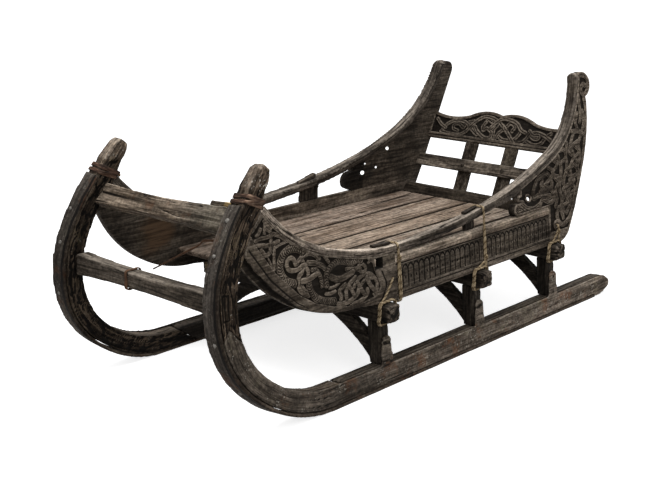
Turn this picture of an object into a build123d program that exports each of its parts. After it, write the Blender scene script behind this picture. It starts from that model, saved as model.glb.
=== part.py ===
from build123d import *
from math import cos, radians, sin, sqrt
import os

# Carved wooden sled. +X runs forward to the stems, +Y to the sled's left, +Z up.
# Each side is drawn upright, its outer face at y = 0, and then leans in towards the top.

# Sides and runners
HALF_TRACK = 438.0
LEAN = 5.2
RUNNER_T = 67.0
RUNNER_D = 82.0
PLATE_T = 12.0
SHOE_T = 14.0
SHOE_FIT = 0.3
SHOE_GROOVE = 4.0
RUNNER_BACK = -985.0
TAIL_X = -1100.0
BEND_X = 636.0
SEAM_X = 540.0
SEAM_SLOPE = 120.0
STRIP_TOP = 10.0
TIP_X = 1056.0
TIP_S = 372.0
TAIL_HOLE_X = -932.0
TAIL_HOLE_V = -36.0
TAIL_HOLE_R = 7.0

# Legs of the sole line from the tail to the stem: radius or length, turn in degrees
RUNNER_LEGS = [
    (BEND_X - RUNNER_BACK, 0.0),
    (508.0, 45.0),
    (357.0, 45.0),
    (430.0, 20.0),
    (560.0, 20.0),
    (190.0, 0.0),
]

# Sections of the stem's head: up from the strip's end, insets of front, rear and both sides, corner radius
STEM_HEAD = [
    (0.0, 0.0, 0.0, 0.0, 2.0),
    (42.0, 0.5, 6.0, 1.0, 6.0),
    (128.0, 1.0, 21.0, 8.0, 8.0),
    (146.0, 8.0, 27.0, 13.0, 9.0),
]

# Beams, posts and knees
BEAM_X = (367.0, -165.0, -665.0)
BEAM_W = 64.0
BEAM_LOW = 229.0
BEAM_TOP = 289.0
BEAM_SEAT = 361.0
BEAM_END = HALF_TRACK + 20.0
BEAM_DEEP = HALF_TRACK - 43.0
BEAM_CHAMFER = 9.0
POST_W = 50.0
POST_T = 52.0
POST_TENON_W = 24.0
POST_TENON_T = 28.0
POST_TENON_UP = 30.0
POST_TENON_DOWN = 40.0
TONGUE_W = 46.0
TONGUE_TOP = 182.0
KNEE_W = 34.0
KNEE_FOOT = 88.0
KNEE_HEEL = 168.0
KNEE_REACH = 232.0
KNEE_TOE = 84.0
KNEE_ARCH = (0.40, 0.53)

# Body sides
SIDE_T = 30.0
RAIL_H = 24.0
RAIL_T = 42.0
FIT = 0.3
BOARD_LOW = 286.0
BOARD_TOP = 440.0
BOARD_FRONT = 300.0
BOARD_REAR = -651.0
FRIEZE_LOW = 316.0
FRIEZE_TOP = 402.0
FRIEZE_DEPTH = 5.0
FRIEZE_POST = 32.0
BOARD_ROUND = 16.0
PANEL_LOW_X = 505.0
PANEL_LOW_S = 306.0
PANEL_R = 600.0
PANEL_R_RIGHT = 470.0
PANEL_RIM = 28.0
PANEL_FIELD = 7.0
SPACER_X = -144.0
SPACER_W = 60.0
SPACER_X_RIGHT = -100.0
SPACER_W_RIGHT = 104.0
WEDGE_X_RIGHT = (-128.0, -32.0)
RAIL_START = (-892.3, 917.2)
RAIL_HEADING = -87.7

# Legs of the rail's underside from the horn to the stem: radius, turn in degrees
RAIL_LEGS = [
    (332.0, 64.2),
    (1871.0, 13.4),
    (3215.0, 10.1),
    (1079.0, 18.7),
    (578.0, 34.0),
]

# The right-hand rail bows less and runs higher
RAIL_START_RIGHT = (-904.5, 918.7)
RAIL_HEADING_RIGHT = -69.3
RAIL_LEGS_RIGHT = [
    (478.0, 45.0),
    (1908.0, 16.9),
    (5798.0, 4.4),
    (742.0, 34.8),
    (552.0, 20.9),
]

# Floor
FLOOR_TOP = 383.0
FLOOR_FRONT = 590.0
FLOOR_REAR = -700.0
FLOOR_EDGE = HALF_TRACK - 53.0
PLANK_GAP = 2.4
PLANK_SEAMS = (-188.0, -20.0, 96.0, 238.0)

# Stem rails: height of the middle, how far behind the stem's front line, tilt of the face, sizes and waist
HEAD_RAIL = dict(z=640.3, behind=71.8, tilt=38.0, deep=44.0, high=90.0, dip=14.0, rise=11.0)
CROSS_RAIL = dict(z=424.0, behind=69.9, tilt=0.0, deep=50.0, high=86.0, dip=17.0, rise=17.0)
RAIL_TENON = 26.0
STEM_RAIL_HALF = HALF_TRACK - 18.0
HEAD_WEDGE_OUT = HALF_TRACK - 142.0
HEAD_WEDGE_LONG = 64.0

# Backrest, drawn on its own leaning face
BACK_X = -760.0
BACK_Z = 400.0
BACK_TILT = 23.6
CREST_LOW = 223.0
CREST_HIGH = 345.0
CREST_HALF = HALF_TRACK - 80.0
CREST_T = 24.0
MID_LOW = 90.0
MID_HIGH = 143.0
MID_T = 20.0
MID_HALF = HALF_TRACK - 70.0
SILL_LOW = -44.0
SILL_HIGH = 7.0
SILL_T = 42.0
SILL_HALF = HALF_TRACK - 59.0
SLAT_T = 18.0
SLAT_W = 64.0
SLAT_Y = (-120.0, 80.0)
SLAT_TENON = 22.0

# Bands, lashings and wedges
BAND_UP = 30.0
BAND_TILT = 23.4
BAND_W = 24.0
BAND_T = 5.0
CORD = 9.0
CORD_W = 12.0
LASH_A = (290.0, -204.0)
LASH_HOLE_X = -706.0
LASH_HOLE_S = 352.0
LASH_LOW_S = 338.0
WEDGE_H = 10.0
WITHY_Y = -66.0
WITHY_W = 12.0
WITHY_T = 4.0
WITHY_FIT = 0.8
TWIG_R = 3.6

# Route of the loose twig: forward, inset from the track's half width, height
TWIG = [(930.0, 74.0, 589.0), (930.0, 262.0, 571.0), (926.0, 318.0, 541.0), (915.0, 542.0, 424.0)]
TWIG_BEND = 40.0

FAR = 3000.0
SKY = 1600.0


# Drawing helpers
def walk(start, heading, legs, left):
    """Lines and left-turning arcs of a smooth trail, moved to its left; each is a list of (x, s) points."""
    x, s = start
    h = radians(heading)
    x = x - left * sin(h)
    s = s + left * cos(h)
    trail = []
    for size, turn in legs:
        if turn == 0.0:
            end = (x + size * cos(h), s + size * sin(h))
            trail.append([(x, s), end])
        else:
            r = size - left
            cx = x - r * sin(h)
            cs = s + r * cos(h)
            m = h + radians(turn) / 2.0
            h = h + radians(turn)
            mid = (cx + r * sin(m), cs - r * cos(m))
            end = (cx + r * sin(h), cs - r * cos(h))
            trail.append([(x, s), mid, end])
        x, s = end
    return trail


def backwards(trail):
    return [leg[::-1] for leg in trail[::-1]]


def outline(parts):
    """Join runs of legs and single points into one closed face at y = 0."""
    legs = []
    last = None
    first = None
    for part in parts:
        run = part if isinstance(part, list) else [[part]]
        for leg in run:
            if last is not None and (abs(leg[0][0] - last[0]) > 1e-6 or abs(leg[0][1] - last[1]) > 1e-6):
                legs.append([last, leg[0]])
            if first is None:
                first = leg[0]
            if len(leg) > 1:
                legs.append(leg)
            last = leg[-1]
    if abs(first[0] - last[0]) > 1e-6 or abs(first[1] - last[1]) > 1e-6:
        legs.append([last, first])
    edges = []
    for leg in legs:
        points = [(p[0], 0.0, p[1]) for p in leg]
        if len(points) == 2:
            edges.append(Edge.make_line(points[0], points[1]))
        else:
            edges.append(Edge.make_three_point_arc(points[0], points[1], points[2]))
    return Face(Wire(edges))


def plate(face, out, inner):
    """Thicken a side face from depth out to depth inner; depths run negative towards the middle."""
    return Pos(0, out, 0) * extrude(face, amount=out - inner, dir=(0, -1, 0))


def block(x0, x1, y0, y1, z0, z1):
    size = Box(x1 - x0, y1 - y0, z1 - z0)
    return Pos((x0 + x1) / 2.0, (y0 + y1) / 2.0, (z0 + z1) / 2.0) * size


def leaned(solid):
    return Pos(0, HALF_TRACK, 0) * Rot(LEAN, 0, 0) * solid


def other_side(solid):
    return mirror(solid, about=Plane.XZ)


def one(shape):
    """The single solid of a result."""
    solids = sorted(shape.solids(), key=lambda s: s.volume)
    return solids[-1]


made = {}


def keep(name, shape):
    made[name] = one(shape)


GROUND = block(-FAR, FAR, -FAR, FAR, -FAR, 0.0)

# Runner outlines
sole_start = (RUNNER_BACK, 0.0)


def sole(left):
    return walk(sole_start, 0.0, RUNNER_LEGS, left)


def on_stem(t, left):
    """A point of the straight top of the stem, t along it and left behind its front edge."""
    leg = sole(left)[-1]
    h = radians(sum(turn for size, turn in RUNNER_LEGS))
    return (leg[0][0] + t * cos(h), leg[0][1] + t * sin(h))


def sole_to_stem(left, t):
    trail = sole(left)
    return trail[:-1] + [[trail[-1][0], on_stem(t, left)]]


def stem_x(height, left):
    """Front-to-back place of the stem's line at a height above the sole."""
    x, s = RUNNER_BACK, left
    h = 0.0
    for size, turn in RUNNER_LEGS:
        if turn == 0.0:
            end = (x + size * cos(h), s + size * sin(h))
            if s < height <= end[1]:
                return x + (end[0] - x) * (height - s) / (end[1] - s)
        else:
            r = size - left
            cx = x - r * sin(h)
            cs = s + r * cos(h)
            h = h + radians(turn)
            end = (cx + r * sin(h), cs - r * cos(h))
            if s < height <= end[1]:
                return cx + sqrt(r * r - (height - cs) ** 2)
        x, s = end
    return x


tail_low = [[(RUNNER_BACK, 2.0), (TAIL_X + 55.0, 8.0), (TAIL_X + 12.0, 22.0)]]
tail_tip = [[(TAIL_X + 12.0, 22.0), (TAIL_X, 41.0), (TAIL_X + 14.0, 61.0)]]
tail_top = [[(TAIL_X + 14.0, 61.0), (TAIL_X + 33.0, 75.0), (TAIL_X + 62.0, RUNNER_D)]]
tail = backwards(tail_top) + backwards(tail_tip) + backwards(tail_low)
bar = outline([sole_to_stem(SHOE_T, STRIP_TOP), backwards(sole_to_stem(RUNNER_D, STRIP_TOP)), tail])


def stem_head(grow):
    """Tapering head of the stem, rounded off at its top, grown all round."""
    h = radians(sum(turn for size, turn in RUNNER_LEGS))
    sections = []
    for up, front_in, rear_in, side_in, corner in STEM_HEAD:
        deep = RUNNER_D - SHOE_T - front_in - rear_in
        middle = on_stem(STRIP_TOP + up, SHOE_T + front_in + deep / 2.0)
        across = Plane(origin=(middle[0], -RUNNER_T / 2.0, middle[1]), x_dir=(-sin(h), 0, cos(h)), z_dir=(cos(h), 0, sin(h)))
        wide = RUNNER_T - 2.0 * side_in
        shape = RectangleRounded(deep + 2.0 * grow, wide + 2.0 * grow, corner + grow)
        sections.append((across * shape).face())
    return loft(sections, ruled=True)


head_front = [on_stem(STRIP_TOP + row[0], SHOE_T + row[1]) for row in STEM_HEAD]
head_rear = [on_stem(STRIP_TOP + row[0], RUNNER_D - row[2]) for row in STEM_HEAD]
stem_top = outline(head_front + head_rear[::-1])

# Region of the outer plate: everything behind its pointed tip
plate_zone = outline([
    (-FAR, -FAR),
    (FAR, -FAR),
    (FAR, TIP_S - 140.0),
    (TIP_X + 60.0, TIP_S - 90.0),
    (TIP_X, TIP_S),
    (TIP_X - 70.0, TIP_S - 72.0),
    (TIP_X - 160.0, TIP_S - 72.0),
    (-FAR, TIP_S - 72.0),
])
zone = plate(plate_zone, 50.0, -200.0)
seam_zone = outline([
    (-FAR, -RUNNER_D),
    (SEAM_X - 1.5 * SEAM_SLOPE, -RUNNER_D),
    (SEAM_X + 1.5 * SEAM_SLOPE, 2.0 * RUNNER_D),
    (-FAR, 2.0 * RUNNER_D),
])
behind_seam = plate(seam_zone, 50.0, -200.0)

outer_bar = plate(bar, 0.0, -PLATE_T)
inner_bar = plate(bar, -PLATE_T, -RUNNER_T)

# Posts stand on the runner under each beam; a tenon at both ends
post_out = -PLATE_T
post_in = -PLATE_T - POST_T
post_mid = (post_out + post_in) / 2.0
BEAM_UNDER = BEAM_LOW
posts = []
post_tenons = []
for x in BEAM_X:
    shaft = block(x - POST_W / 2, x + POST_W / 2, post_in, post_out, RUNNER_D, BEAM_LOW + 40.0)
    foot = block(x - POST_TENON_W / 2, x + POST_TENON_W / 2, post_mid - POST_TENON_T / 2,
                 post_mid + POST_TENON_T / 2, RUNNER_D - POST_TENON_DOWN, RUNNER_D)
    head = block(x - POST_TENON_W / 2, x + POST_TENON_W / 2, post_mid - POST_TENON_T / 2,
                 post_mid + POST_TENON_T / 2, RUNNER_D, BEAM_LOW + POST_TENON_UP)
    shaft = leaned(shaft) & block(-FAR, FAR, -FAR, FAR, 0.0, BEAM_LOW)
    posts.append(shaft + leaned(foot) + leaned(head))
    post_tenons.append((leaned(foot), leaned(head)))

# Tail hole
tail_hole = Pos(TAIL_HOLE_X, TAIL_HOLE_V, RUNNER_D / 2) * Cylinder(TAIL_HOLE_R, 3 * RUNNER_D)

# Head rail and cross rail between the stems
def stem_rail_x(spec):
    height = (spec["z"] + RUNNER_T * sin(radians(LEAN))) / cos(radians(LEAN))
    return stem_x(height, spec["behind"])


def stem_rail(z, behind, tilt, deep, high, dip, rise, squeeze):
    """A waisted bar across the sled; its face is tilted back by tilt."""
    x = stem_rail_x(dict(z=z, behind=behind))
    half = STEM_RAIL_HALF
    t = radians(tilt)
    face_plane = Plane(origin=(x, 0, z), x_dir=(0, 1, 0), z_dir=(cos(t), 0, sin(t)))
    up = high / 2.0 - squeeze
    edges = [
        Edge.make_line((-half, -up, 0), (half, -up, 0)) if dip == 0.0 else
        Edge.make_three_point_arc((-half, -up, 0), (0, -up + rise, 0), (half, -up, 0)),
        Edge.make_line((half, -up, 0), (half, up, 0)),
        Edge.make_line((half, up, 0), (-half, up, 0)) if dip == 0.0 else
        Edge.make_three_point_arc((half, up, 0), (0, up - dip, 0), (-half, up, 0)),
        Edge.make_line((-half, up, 0), (-half, -up, 0)),
    ]
    face = Face(Wire(edges))
    bar_solid = extrude(face, amount=(deep - 2 * squeeze) / 2.0, dir=(0, 0, 1), both=True)
    return face_plane * bar_solid


inside = leaned(block(-FAR, FAR, -RUNNER_T - FAR, -RUNNER_T, -FAR, FAR))
inside = inside & other_side(inside)
tenon_zone = leaned(block(-FAR, FAR, -RUNNER_T - FAR, -RUNNER_T + RAIL_TENON, -FAR, FAR))
tenon_zone = tenon_zone & other_side(tenon_zone)


def rail_across(spec):
    wide = stem_rail(squeeze=0.0, **spec)
    slim_spec = dict(spec, dip=0.0, rise=0.0)
    slim = stem_rail(squeeze=min(spec["high"], spec["deep"]) * 0.24, **slim_spec)
    tenons = (slim & tenon_zone) - inside
    return (wide & inside) + tenons, tenons


head_rail, head_tenons = rail_across(HEAD_RAIL)
cross_rail, cross_tenons = rail_across(CROSS_RAIL)

# Stem: full thickness above the plate's tip, slimmer behind it down to the seam
stem = (outer_bar - zone) + (inner_bar - behind_seam) + stem_head(0.0)
stem = leaned(stem) - head_tenons - cross_tenons
keep("stem_left", stem)

# Runner core from the seam to the tail, with post mortises and the tail hole
core = (inner_bar & behind_seam) - tail_hole
core = leaned(core) - GROUND
for foot, head in post_tenons:
    core = core - foot
keep("runner_left", core)

# Outer plate with a tongue on each post
outer_plate = outer_bar & zone
for x in BEAM_X:
    half = TONGUE_W / 2.0
    shoulder = TONGUE_TOP - half
    tongue = outline([
        (x - half - 6.0, RUNNER_D - 20.0),
        (x + half + 6.0, RUNNER_D - 20.0),
        (x + half + 6.0, RUNNER_D),
        [[(x + half, shoulder), (x, TONGUE_TOP), (x - half, shoulder)]],
        (x - half - 6.0, RUNNER_D),
    ])
    outer_plate = outer_plate + plate(tongue, 0.0, -PLATE_T)
keep("runner_plate_left", leaned(outer_plate) - GROUND)

# Shoe strip under the sole and up the front of the stem, with a groove behind its edges
strip_front = STRIP_TOP - SHOE_FIT
strip = outline([sole_to_stem(0.0, strip_front), backwards(sole_to_stem(SHOE_T - SHOE_GROOVE, strip_front))])
strip_back = outline([
    sole_to_stem(SHOE_T - SHOE_GROOVE, strip_front),
    backwards(sole_to_stem(SHOE_T - SHOE_FIT, strip_front)),
])
shoe = plate(strip, 0.0, -RUNNER_T) + plate(strip_back, -SHOE_GROOVE, -RUNNER_T + SHOE_GROOVE)
shoe = leaned(shoe - tail_hole) - GROUND
keep("runner_shoe_left", shoe)

# Top rails and the body sides
stem_room = plate(bar, 60.0, -160.0) + plate(stem_top, 60.0, -160.0)
RAILS = {
    "left": (RAIL_START, RAIL_HEADING, RAIL_LEGS),
    "right": (RAIL_START_RIGHT, RAIL_HEADING_RIGHT, RAIL_LEGS_RIGHT),
}


def rail_line(hand, left):
    """Trail along a rail, left of its underside."""
    return walk(*RAILS[hand], left)


def rail_room(hand):
    return plate(outline([rail_line(hand, -FIT), backwards(rail_line(hand, RAIL_H + FIT))]), 60.0, -160.0)


def over_rail(hand, left):
    """Everything above a line that follows a rail, left of its underside."""
    trail = rail_line(hand, left)
    return plate(outline([trail, (trail[-1][-1][0] + 60.0, SKY), (trail[0][0][0] + 8.0, SKY)]), 60.0, -160.0)


def rail_crown(hand):
    """Rounded end of a rail at the horn."""
    low = rail_line(hand, 0.0)[0][0]
    high = rail_line(hand, RAIL_H)[0][0]
    return outline([low, [[high, ((low[0] + high[0]) / 2.0 - 2.0, max(low[1], high[1]) + 12.0), low]]])


def band_zone(grow):
    """Tilted slice of the stem's head, where its band sits."""
    at = on_stem(STRIP_TOP + BAND_UP, (SHOE_T + RUNNER_D) / 2.0)
    slab = Pos(at[0], 0, at[1]) * Rot(0, -BAND_TILT, 0) * Box(4 * RUNNER_D, 4 * RUNNER_T, BAND_W + 2 * grow)
    return stem_head(BAND_T + grow) & slab


keep("stem_band_left", leaned(band_zone(0.0) - stem_head(FIT)))
band_room = band_zone(FIT)
for hand in RAILS:
    rail = plate(outline([rail_line(hand, 0.0), backwards(rail_line(hand, RAIL_H))]), 0.0, -RAIL_T)
    rail = rail + plate(rail_crown(hand), 0.0, -RAIL_T) - stem_room - band_room
    made["top_rail_" + hand] = one(leaned(rail))

# Front panels: hull-shaped plates between stem, rail and side board
def hull(radius, inset, start, end):
    """Leg of the hull line between two angles measured from straight down."""
    r = radius - inset
    points = []
    for angle in (start, (start + end) / 2.0, end):
        a = radians(angle)
        points.append((PANEL_LOW_X + r * sin(a), PANEL_LOW_S + radius - r * cos(a)))
    return [points]


def front_side(hand, radius, sweep):
    face = outline([
        (BOARD_FRONT, BOARD_LOW),
        (BOARD_FRONT + 110.0, BOARD_LOW + 8.0),
        hull(radius, 0.0, 0.0, sweep),
        (1040.0, 640.0),
        (960.0, 760.0),
        (840.0, 720.0),
        (600.0, 560.0),
        (BOARD_FRONT, 520.0),
    ])
    return plate(face, 0.0, -SIDE_T) - over_rail(hand, -FIT) - stem_room - band_room


field = outline([
    hull(PANEL_R, PANEL_RIM, -7.0, 47.5),
    (876.0, 640.0),
    [[(835.0, 612.0), (721.0, 529.0), (560.0, 478.0)]],
    (440.0, 455.0),
    (418.0, 440.0),
    (404.0, 404.0),
    (384.0, 362.0),
])
window = block(368.0, 404.0, -100.0, 50.0, 412.0, 446.0)
front_panel = leaned(front_side("left", PANEL_R, 57.0) - plate(field, 50.0, -PANEL_FIELD) - window)
field_right = outline([
    hull(PANEL_R_RIGHT, PANEL_RIM, -8.0, 58.0),
    (862.0, 630.0),
    [[(835.0, 612.0), (721.0, 529.0), (560.0, 478.0)]],
    (440.0, 455.0),
    (418.0, 440.0),
    (404.0, 404.0),
    (384.0, 362.0),
])
front_right = leaned(front_side("right", PANEL_R_RIGHT, 74.0) - plate(field_right, 50.0, -PANEL_FIELD) - window)
front_right = other_side(front_right)

# Side board with a rounded top moulding and a sunk frieze in two lengths
section = [
    (0.0, BOARD_LOW),
    (0.0, FRIEZE_LOW),
    (-FRIEZE_DEPTH, FRIEZE_LOW),
    (-FRIEZE_DEPTH, FRIEZE_TOP),
    (0.0, FRIEZE_TOP),
    (0.0, BOARD_TOP - BOARD_ROUND),
]
edges = [Edge.make_line((BOARD_REAR, a[0], a[1]), (BOARD_REAR, b[0], b[1])) for a, b in zip(section, section[1:])]
knee_s = BOARD_TOP - BOARD_ROUND * (1 - cos(radians(45)))
knee_v = -BOARD_ROUND * (1 - cos(radians(45)))
edges.append(Edge.make_three_point_arc(
    (BOARD_REAR, 0.0, BOARD_TOP - BOARD_ROUND),
    (BOARD_REAR, knee_v, knee_s),
    (BOARD_REAR, -BOARD_ROUND, BOARD_TOP),
))
edges.append(Edge.make_line((BOARD_REAR, -BOARD_ROUND, BOARD_TOP), (BOARD_REAR, -SIDE_T, BOARD_TOP)))
edges.append(Edge.make_line((BOARD_REAR, -SIDE_T, BOARD_TOP), (BOARD_REAR, -SIDE_T, BOARD_LOW)))
edges.append(Edge.make_line((BOARD_REAR, -SIDE_T, BOARD_LOW), (BOARD_REAR, 0.0, BOARD_LOW)))
board = extrude(Face(Wire(edges)), amount=BOARD_FRONT - BOARD_REAR, dir=(1, 0, 0))
stiles = [
    (BOARD_FRONT - FRIEZE_POST, BOARD_FRONT),
    (LASH_A[1] - FRIEZE_POST / 2, LASH_A[1] + FRIEZE_POST / 2),
    (BOARD_REAR, BOARD_REAR + FRIEZE_POST / 2),
]
for x0, x1 in stiles:
    board = board + block(x0, x1, -FRIEZE_DEPTH, 0.0, FRIEZE_LOW, FRIEZE_TOP)
board = leaned(board)

# Rear panels: they stand on the side board, close its end and rise into the horns
scroll_left = [
    [(-456.0, 514.0), (-440.0, 501.0), (-456.0, 490.0)],
    [(-456.0, 490.0), (-470.0, 488.0)],
    [(-470.0, 488.0), (-446.0, 483.0)],
    [(-446.0, 483.0), (-412.0, 462.0), (-436.0, BOARD_TOP)],
]
scroll_right = [
    [(-360.0, 524.0), (-346.0, 519.0)],
    [(-346.0, 519.0), (-308.0, 488.0), (-336.0, 448.0)],
    [(-336.0, 448.0), (-354.0, BOARD_TOP)],
]
rear_edge_left = [
    [(-690.0, BOARD_LOW), (-745.0, 288.0), (-790.0, 316.0)],
    [(-790.0, 316.0), (-852.0, 428.0), (-904.0, 550.0)],
    [(-904.0, 550.0), (-944.0, 680.0), (-952.0, 780.0)],
    [(-952.0, 780.0), (-950.0, 812.0), (-944.0, 838.0)],
    [(-944.0, 838.0), (-978.0, 876.0), (-962.0, 918.0)],
    [(-962.0, 918.0), (-926.0, 938.0), (-886.0, 930.0)],
]
rear_edge_right = [
    [(-690.0, BOARD_LOW), (-730.0, 292.0), (-752.0, 312.0)],
    [(-752.0, 312.0), (-828.0, 488.0)],
    [(-828.0, 488.0), (-976.0, 884.0)],
    [(-976.0, 884.0), (-971.0, 918.0), (-940.0, 932.0)],
    [(-940.0, 932.0), (-918.0, 934.0), (-898.0, 926.0)],
]
pierced_left = [(-508.0, 496.0, 9.0)]
pierced_right = [(-415.0, 509.0, 9.0), (-428.0, 546.0, 4.0), (-502.0, 520.0, 5.0), (-568.0, 593.0, 8.0)]
PIERCED_FACE = {"left": 0.0, "right": -SIDE_T}
PIERCED_SLANT = {"left": (-33.0, -30.0, -12.0), "right": (-33.0, 30.0, -12.0)}


def rear_panel(hand, edge, scroll, pierced, top):
    face = outline([scroll, (BOARD_REAR, BOARD_TOP), (BOARD_REAR, BOARD_LOW), edge] + top)
    body = plate(face, 0.0, -SIDE_T) - over_rail(hand, -FIT) - plate(rail_crown(hand), 60.0, -160.0)
    body = body - block(BOARD_REAR, FAR, -FAR, FAR, -FAR, BOARD_TOP)
    for x, s, r in pierced:
        bore = Plane(origin=(x, PIERCED_FACE[hand], s), z_dir=PIERCED_SLANT[hand])
        body = body - bore * Cylinder(r, 5 * SIDE_T)
    body = body - block(LASH_HOLE_X - CORD, LASH_HOLE_X + CORD, -200.0, 100.0, LASH_HOLE_S - 2.0, LASH_HOLE_S + 14.0)
    return one(body)


top_left = [(-860.0, 900.0), (-780.0, 740.0), (-600.0, 610.0), (-456.0, 560.0)]
top_right = [(-870.0, 900.0), (-780.0, 790.0), (-600.0, 655.0), (-360.0, 562.0)]
rear_left = leaned(rear_panel("left", rear_edge_left, scroll_left, pierced_left, top_left))
rear_right = other_side(leaned(rear_panel("right", rear_edge_right, scroll_right, pierced_right, top_right)))

# Spacers between side board and rail
spacers = [("left", SPACER_X, SPACER_W), ("right", SPACER_X_RIGHT, SPACER_W_RIGHT)]
for hand, x, w in spacers:
    spacer = block(x - w / 2, x + w / 2, -SIDE_T, -BOARD_ROUND, BOARD_TOP, 560.0) - over_rail(hand, -FIT)
    made["rail_spacer_" + hand] = one(leaned(spacer))

# Backrest
t = radians(BACK_TILT)
back_plane = Plane(origin=(BACK_X, 0, BACK_Z), x_dir=(0, 1, 0), z_dir=(cos(t), 0, sin(t)))


def back_slab(face, front_w, rear_w):
    return back_plane * (Pos(0, 0, rear_w) * extrude(face, amount=front_w - rear_w, dir=(0, 0, 1)))


def back_block(y0, y1, u0, u1, front_w, rear_w):
    return back_plane * block(y0, y1, u0, u1, rear_w, front_w)


half_crest = [
    [(CREST_HALF, CREST_HIGH), (0.7 * CREST_HALF, CREST_HIGH - 19.0), (0.45 * CREST_HALF, CREST_HIGH - 5.0)],
    [(0.45 * CREST_HALF, CREST_HIGH - 5.0), (0.2 * CREST_HALF, CREST_HIGH + 20.0), (0.0, CREST_HIGH + 9.0)],
]
edges = [Edge.make_line((-CREST_HALF, CREST_LOW, 0), (CREST_HALF, CREST_LOW, 0))]
edges.append(Edge.make_line((CREST_HALF, CREST_LOW, 0), (CREST_HALF, CREST_HIGH, 0)))
for a, b, c in half_crest:
    edges.append(Edge.make_three_point_arc((a[0], a[1], 0), (b[0], b[1], 0), (c[0], c[1], 0)))
for c, b, a in half_crest[::-1]:
    edges.append(Edge.make_three_point_arc((-a[0], a[1], 0), (-b[0], b[1], 0), (-c[0], c[1], 0)))
edges.append(Edge.make_line((-CREST_HALF, CREST_HIGH, 0), (-CREST_HALF, CREST_LOW, 0)))
crest = back_slab(Face(Wire(edges)), 3.0, 3.0 - CREST_T)
mid_rail = back_block(-MID_HALF, MID_HALF, MID_LOW, MID_HIGH, MID_T, 0.0)
sill = back_block(-SILL_HALF, SILL_HALF, SILL_LOW, SILL_HIGH, SILL_T, 0.0)
slats = []
for y in SLAT_Y:
    slat = back_block(y - SLAT_W / 2, y + SLAT_W / 2, SILL_LOW, CREST_LOW, 0.0, -SLAT_T)
    peg = back_block(y - SLAT_W / 4, y + SLAT_W / 4, CREST_LOW, CREST_LOW + SLAT_TENON, -4.0, -SLAT_T + 3.0)
    slats.append(slat + peg)
    crest = crest - peg

# Rails of the backrest are let into the rear panels
for member in (crest, mid_rail, sill):
    rear_left = rear_left - member
    rear_right = rear_right - member
keep("front_panel_left", front_panel)
keep("side_board_left", board)
keep("rear_panel_left", rear_left)
keep("backrest_crest", crest)
keep("backrest_rail", mid_rail)
keep("backrest_sill", sill)
keep("backrest_slat_right", slats[0])
keep("backrest_slat_left", slats[1])

# Beams: deep between the side boards, slimmer ends passing under them
lash_slot = block(LASH_A[1] - CORD, LASH_A[1] + CORD, -200.0, 100.0, LASH_LOW_S - 2.0, LASH_LOW_S + CORD + 1.0)
board_right = other_side(board - leaned(lash_slot))
BEAM_NAMES = ("front", "middle", "rear")
for name, x, post, tenons in zip(BEAM_NAMES, BEAM_X, posts, post_tenons):
    beam = block(x - BEAM_W / 2, x + BEAM_W / 2, -BEAM_END, BEAM_END, BEAM_LOW, BEAM_TOP)
    ends = beam.faces().sort_by(Axis.Y)
    beam = chamfer(ends[-1].edges() + ends[0].edges(), BEAM_CHAMFER)
    beam = beam + block(x - BEAM_W / 2, x + BEAM_W / 2, -BEAM_DEEP, BEAM_DEEP, BEAM_TOP - 10.0, BEAM_SEAT)
    for wall in (front_panel, board, rear_left, front_right, board_right, rear_right):
        beam = beam - wall
    beam = beam - tenons[1] - other_side(tenons[1])
    keep("beam_" + name, beam)
    keep("post_" + name + "_left", post)

# Knees between post and beam
    y_foot = HALF_TRACK + post_in * cos(radians(LEAN)) - KNEE_FOOT * sin(radians(LEAN))
    y_heel = HALF_TRACK + post_in * cos(radians(LEAN)) - KNEE_HEEL * sin(radians(LEAN))
    z_foot = post_in * sin(radians(LEAN)) + KNEE_FOOT * cos(radians(LEAN))
    z_heel = post_in * sin(radians(LEAN)) + KNEE_HEEL * cos(radians(LEAN))
    toe_y = y_foot - KNEE_REACH
    points = [(x, y_foot, z_foot), (x, y_heel, z_heel), (x, toe_y + KNEE_TOE + 46.0, BEAM_LOW), (x, toe_y, BEAM_LOW)]
    arch = (x, y_foot - KNEE_REACH * KNEE_ARCH[0], z_foot + (BEAM_LOW - z_foot) * KNEE_ARCH[1])
    edges = [Edge.make_line(points[0], points[1]), Edge.make_line(points[1], points[2])]
    edges.append(Edge.make_line(points[2], points[3]))
    edges.append(Edge.make_three_point_arc(points[3], arch, points[0]))
    knee = extrude(Face(Wire(edges)), amount=KNEE_W / 2, dir=(1, 0, 0), both=True)
    keep("knee_" + name + "_left", knee)

# Floor planks, trimmed to the leaning sides, with notches for the lashings
cuts = [-FLOOR_EDGE] + [y for y in PLANK_SEAMS] + [FLOOR_EDGE]
for i in range(len(cuts) - 1):
    y0 = cuts[i] + (PLANK_GAP / 2 if i > 0 else 0.0)
    y1 = cuts[i + 1] - (PLANK_GAP / 2 if i < len(cuts) - 2 else 0.0)
    plank = block(FLOOR_REAR, FLOOR_FRONT, y0, y1, BEAM_SEAT, FLOOR_TOP)
    if i == 0 or i == len(cuts) - 2:
        for wall in (front_panel, board, rear_left, front_right, board_right, rear_right):
            plank = plank - wall
        for x in LASH_A:
            notch = leaned(block(x - CORD_W, x + CORD_W, -RAIL_T - CORD - 2.0, 20.0, 300.0, 460.0))
            plank = plank - notch
            if x == LASH_A[0]:
                plank = plank - other_side(notch)
    keep("floor_plank_%d" % (i + 1), plank)

# Lashings: a loop round rail and side board, or through a slot in the side, tied to a loop round the beam end
def rail_loop(hand, x):
    loop = block(x - CORD_W / 2, x + CORD_W / 2, -RAIL_T - CORD, CORD, BOARD_LOW - CORD, 560.0)
    hollow = over_rail(hand, 0.0)
    loop = loop - (block(x - FAR, x + FAR, -RAIL_T - FIT, FIT, BOARD_LOW - FIT, 560.0) - hollow)
    return leaned(one(loop - rail_room(hand) - over_rail(hand, RAIL_H + CORD)))


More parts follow.
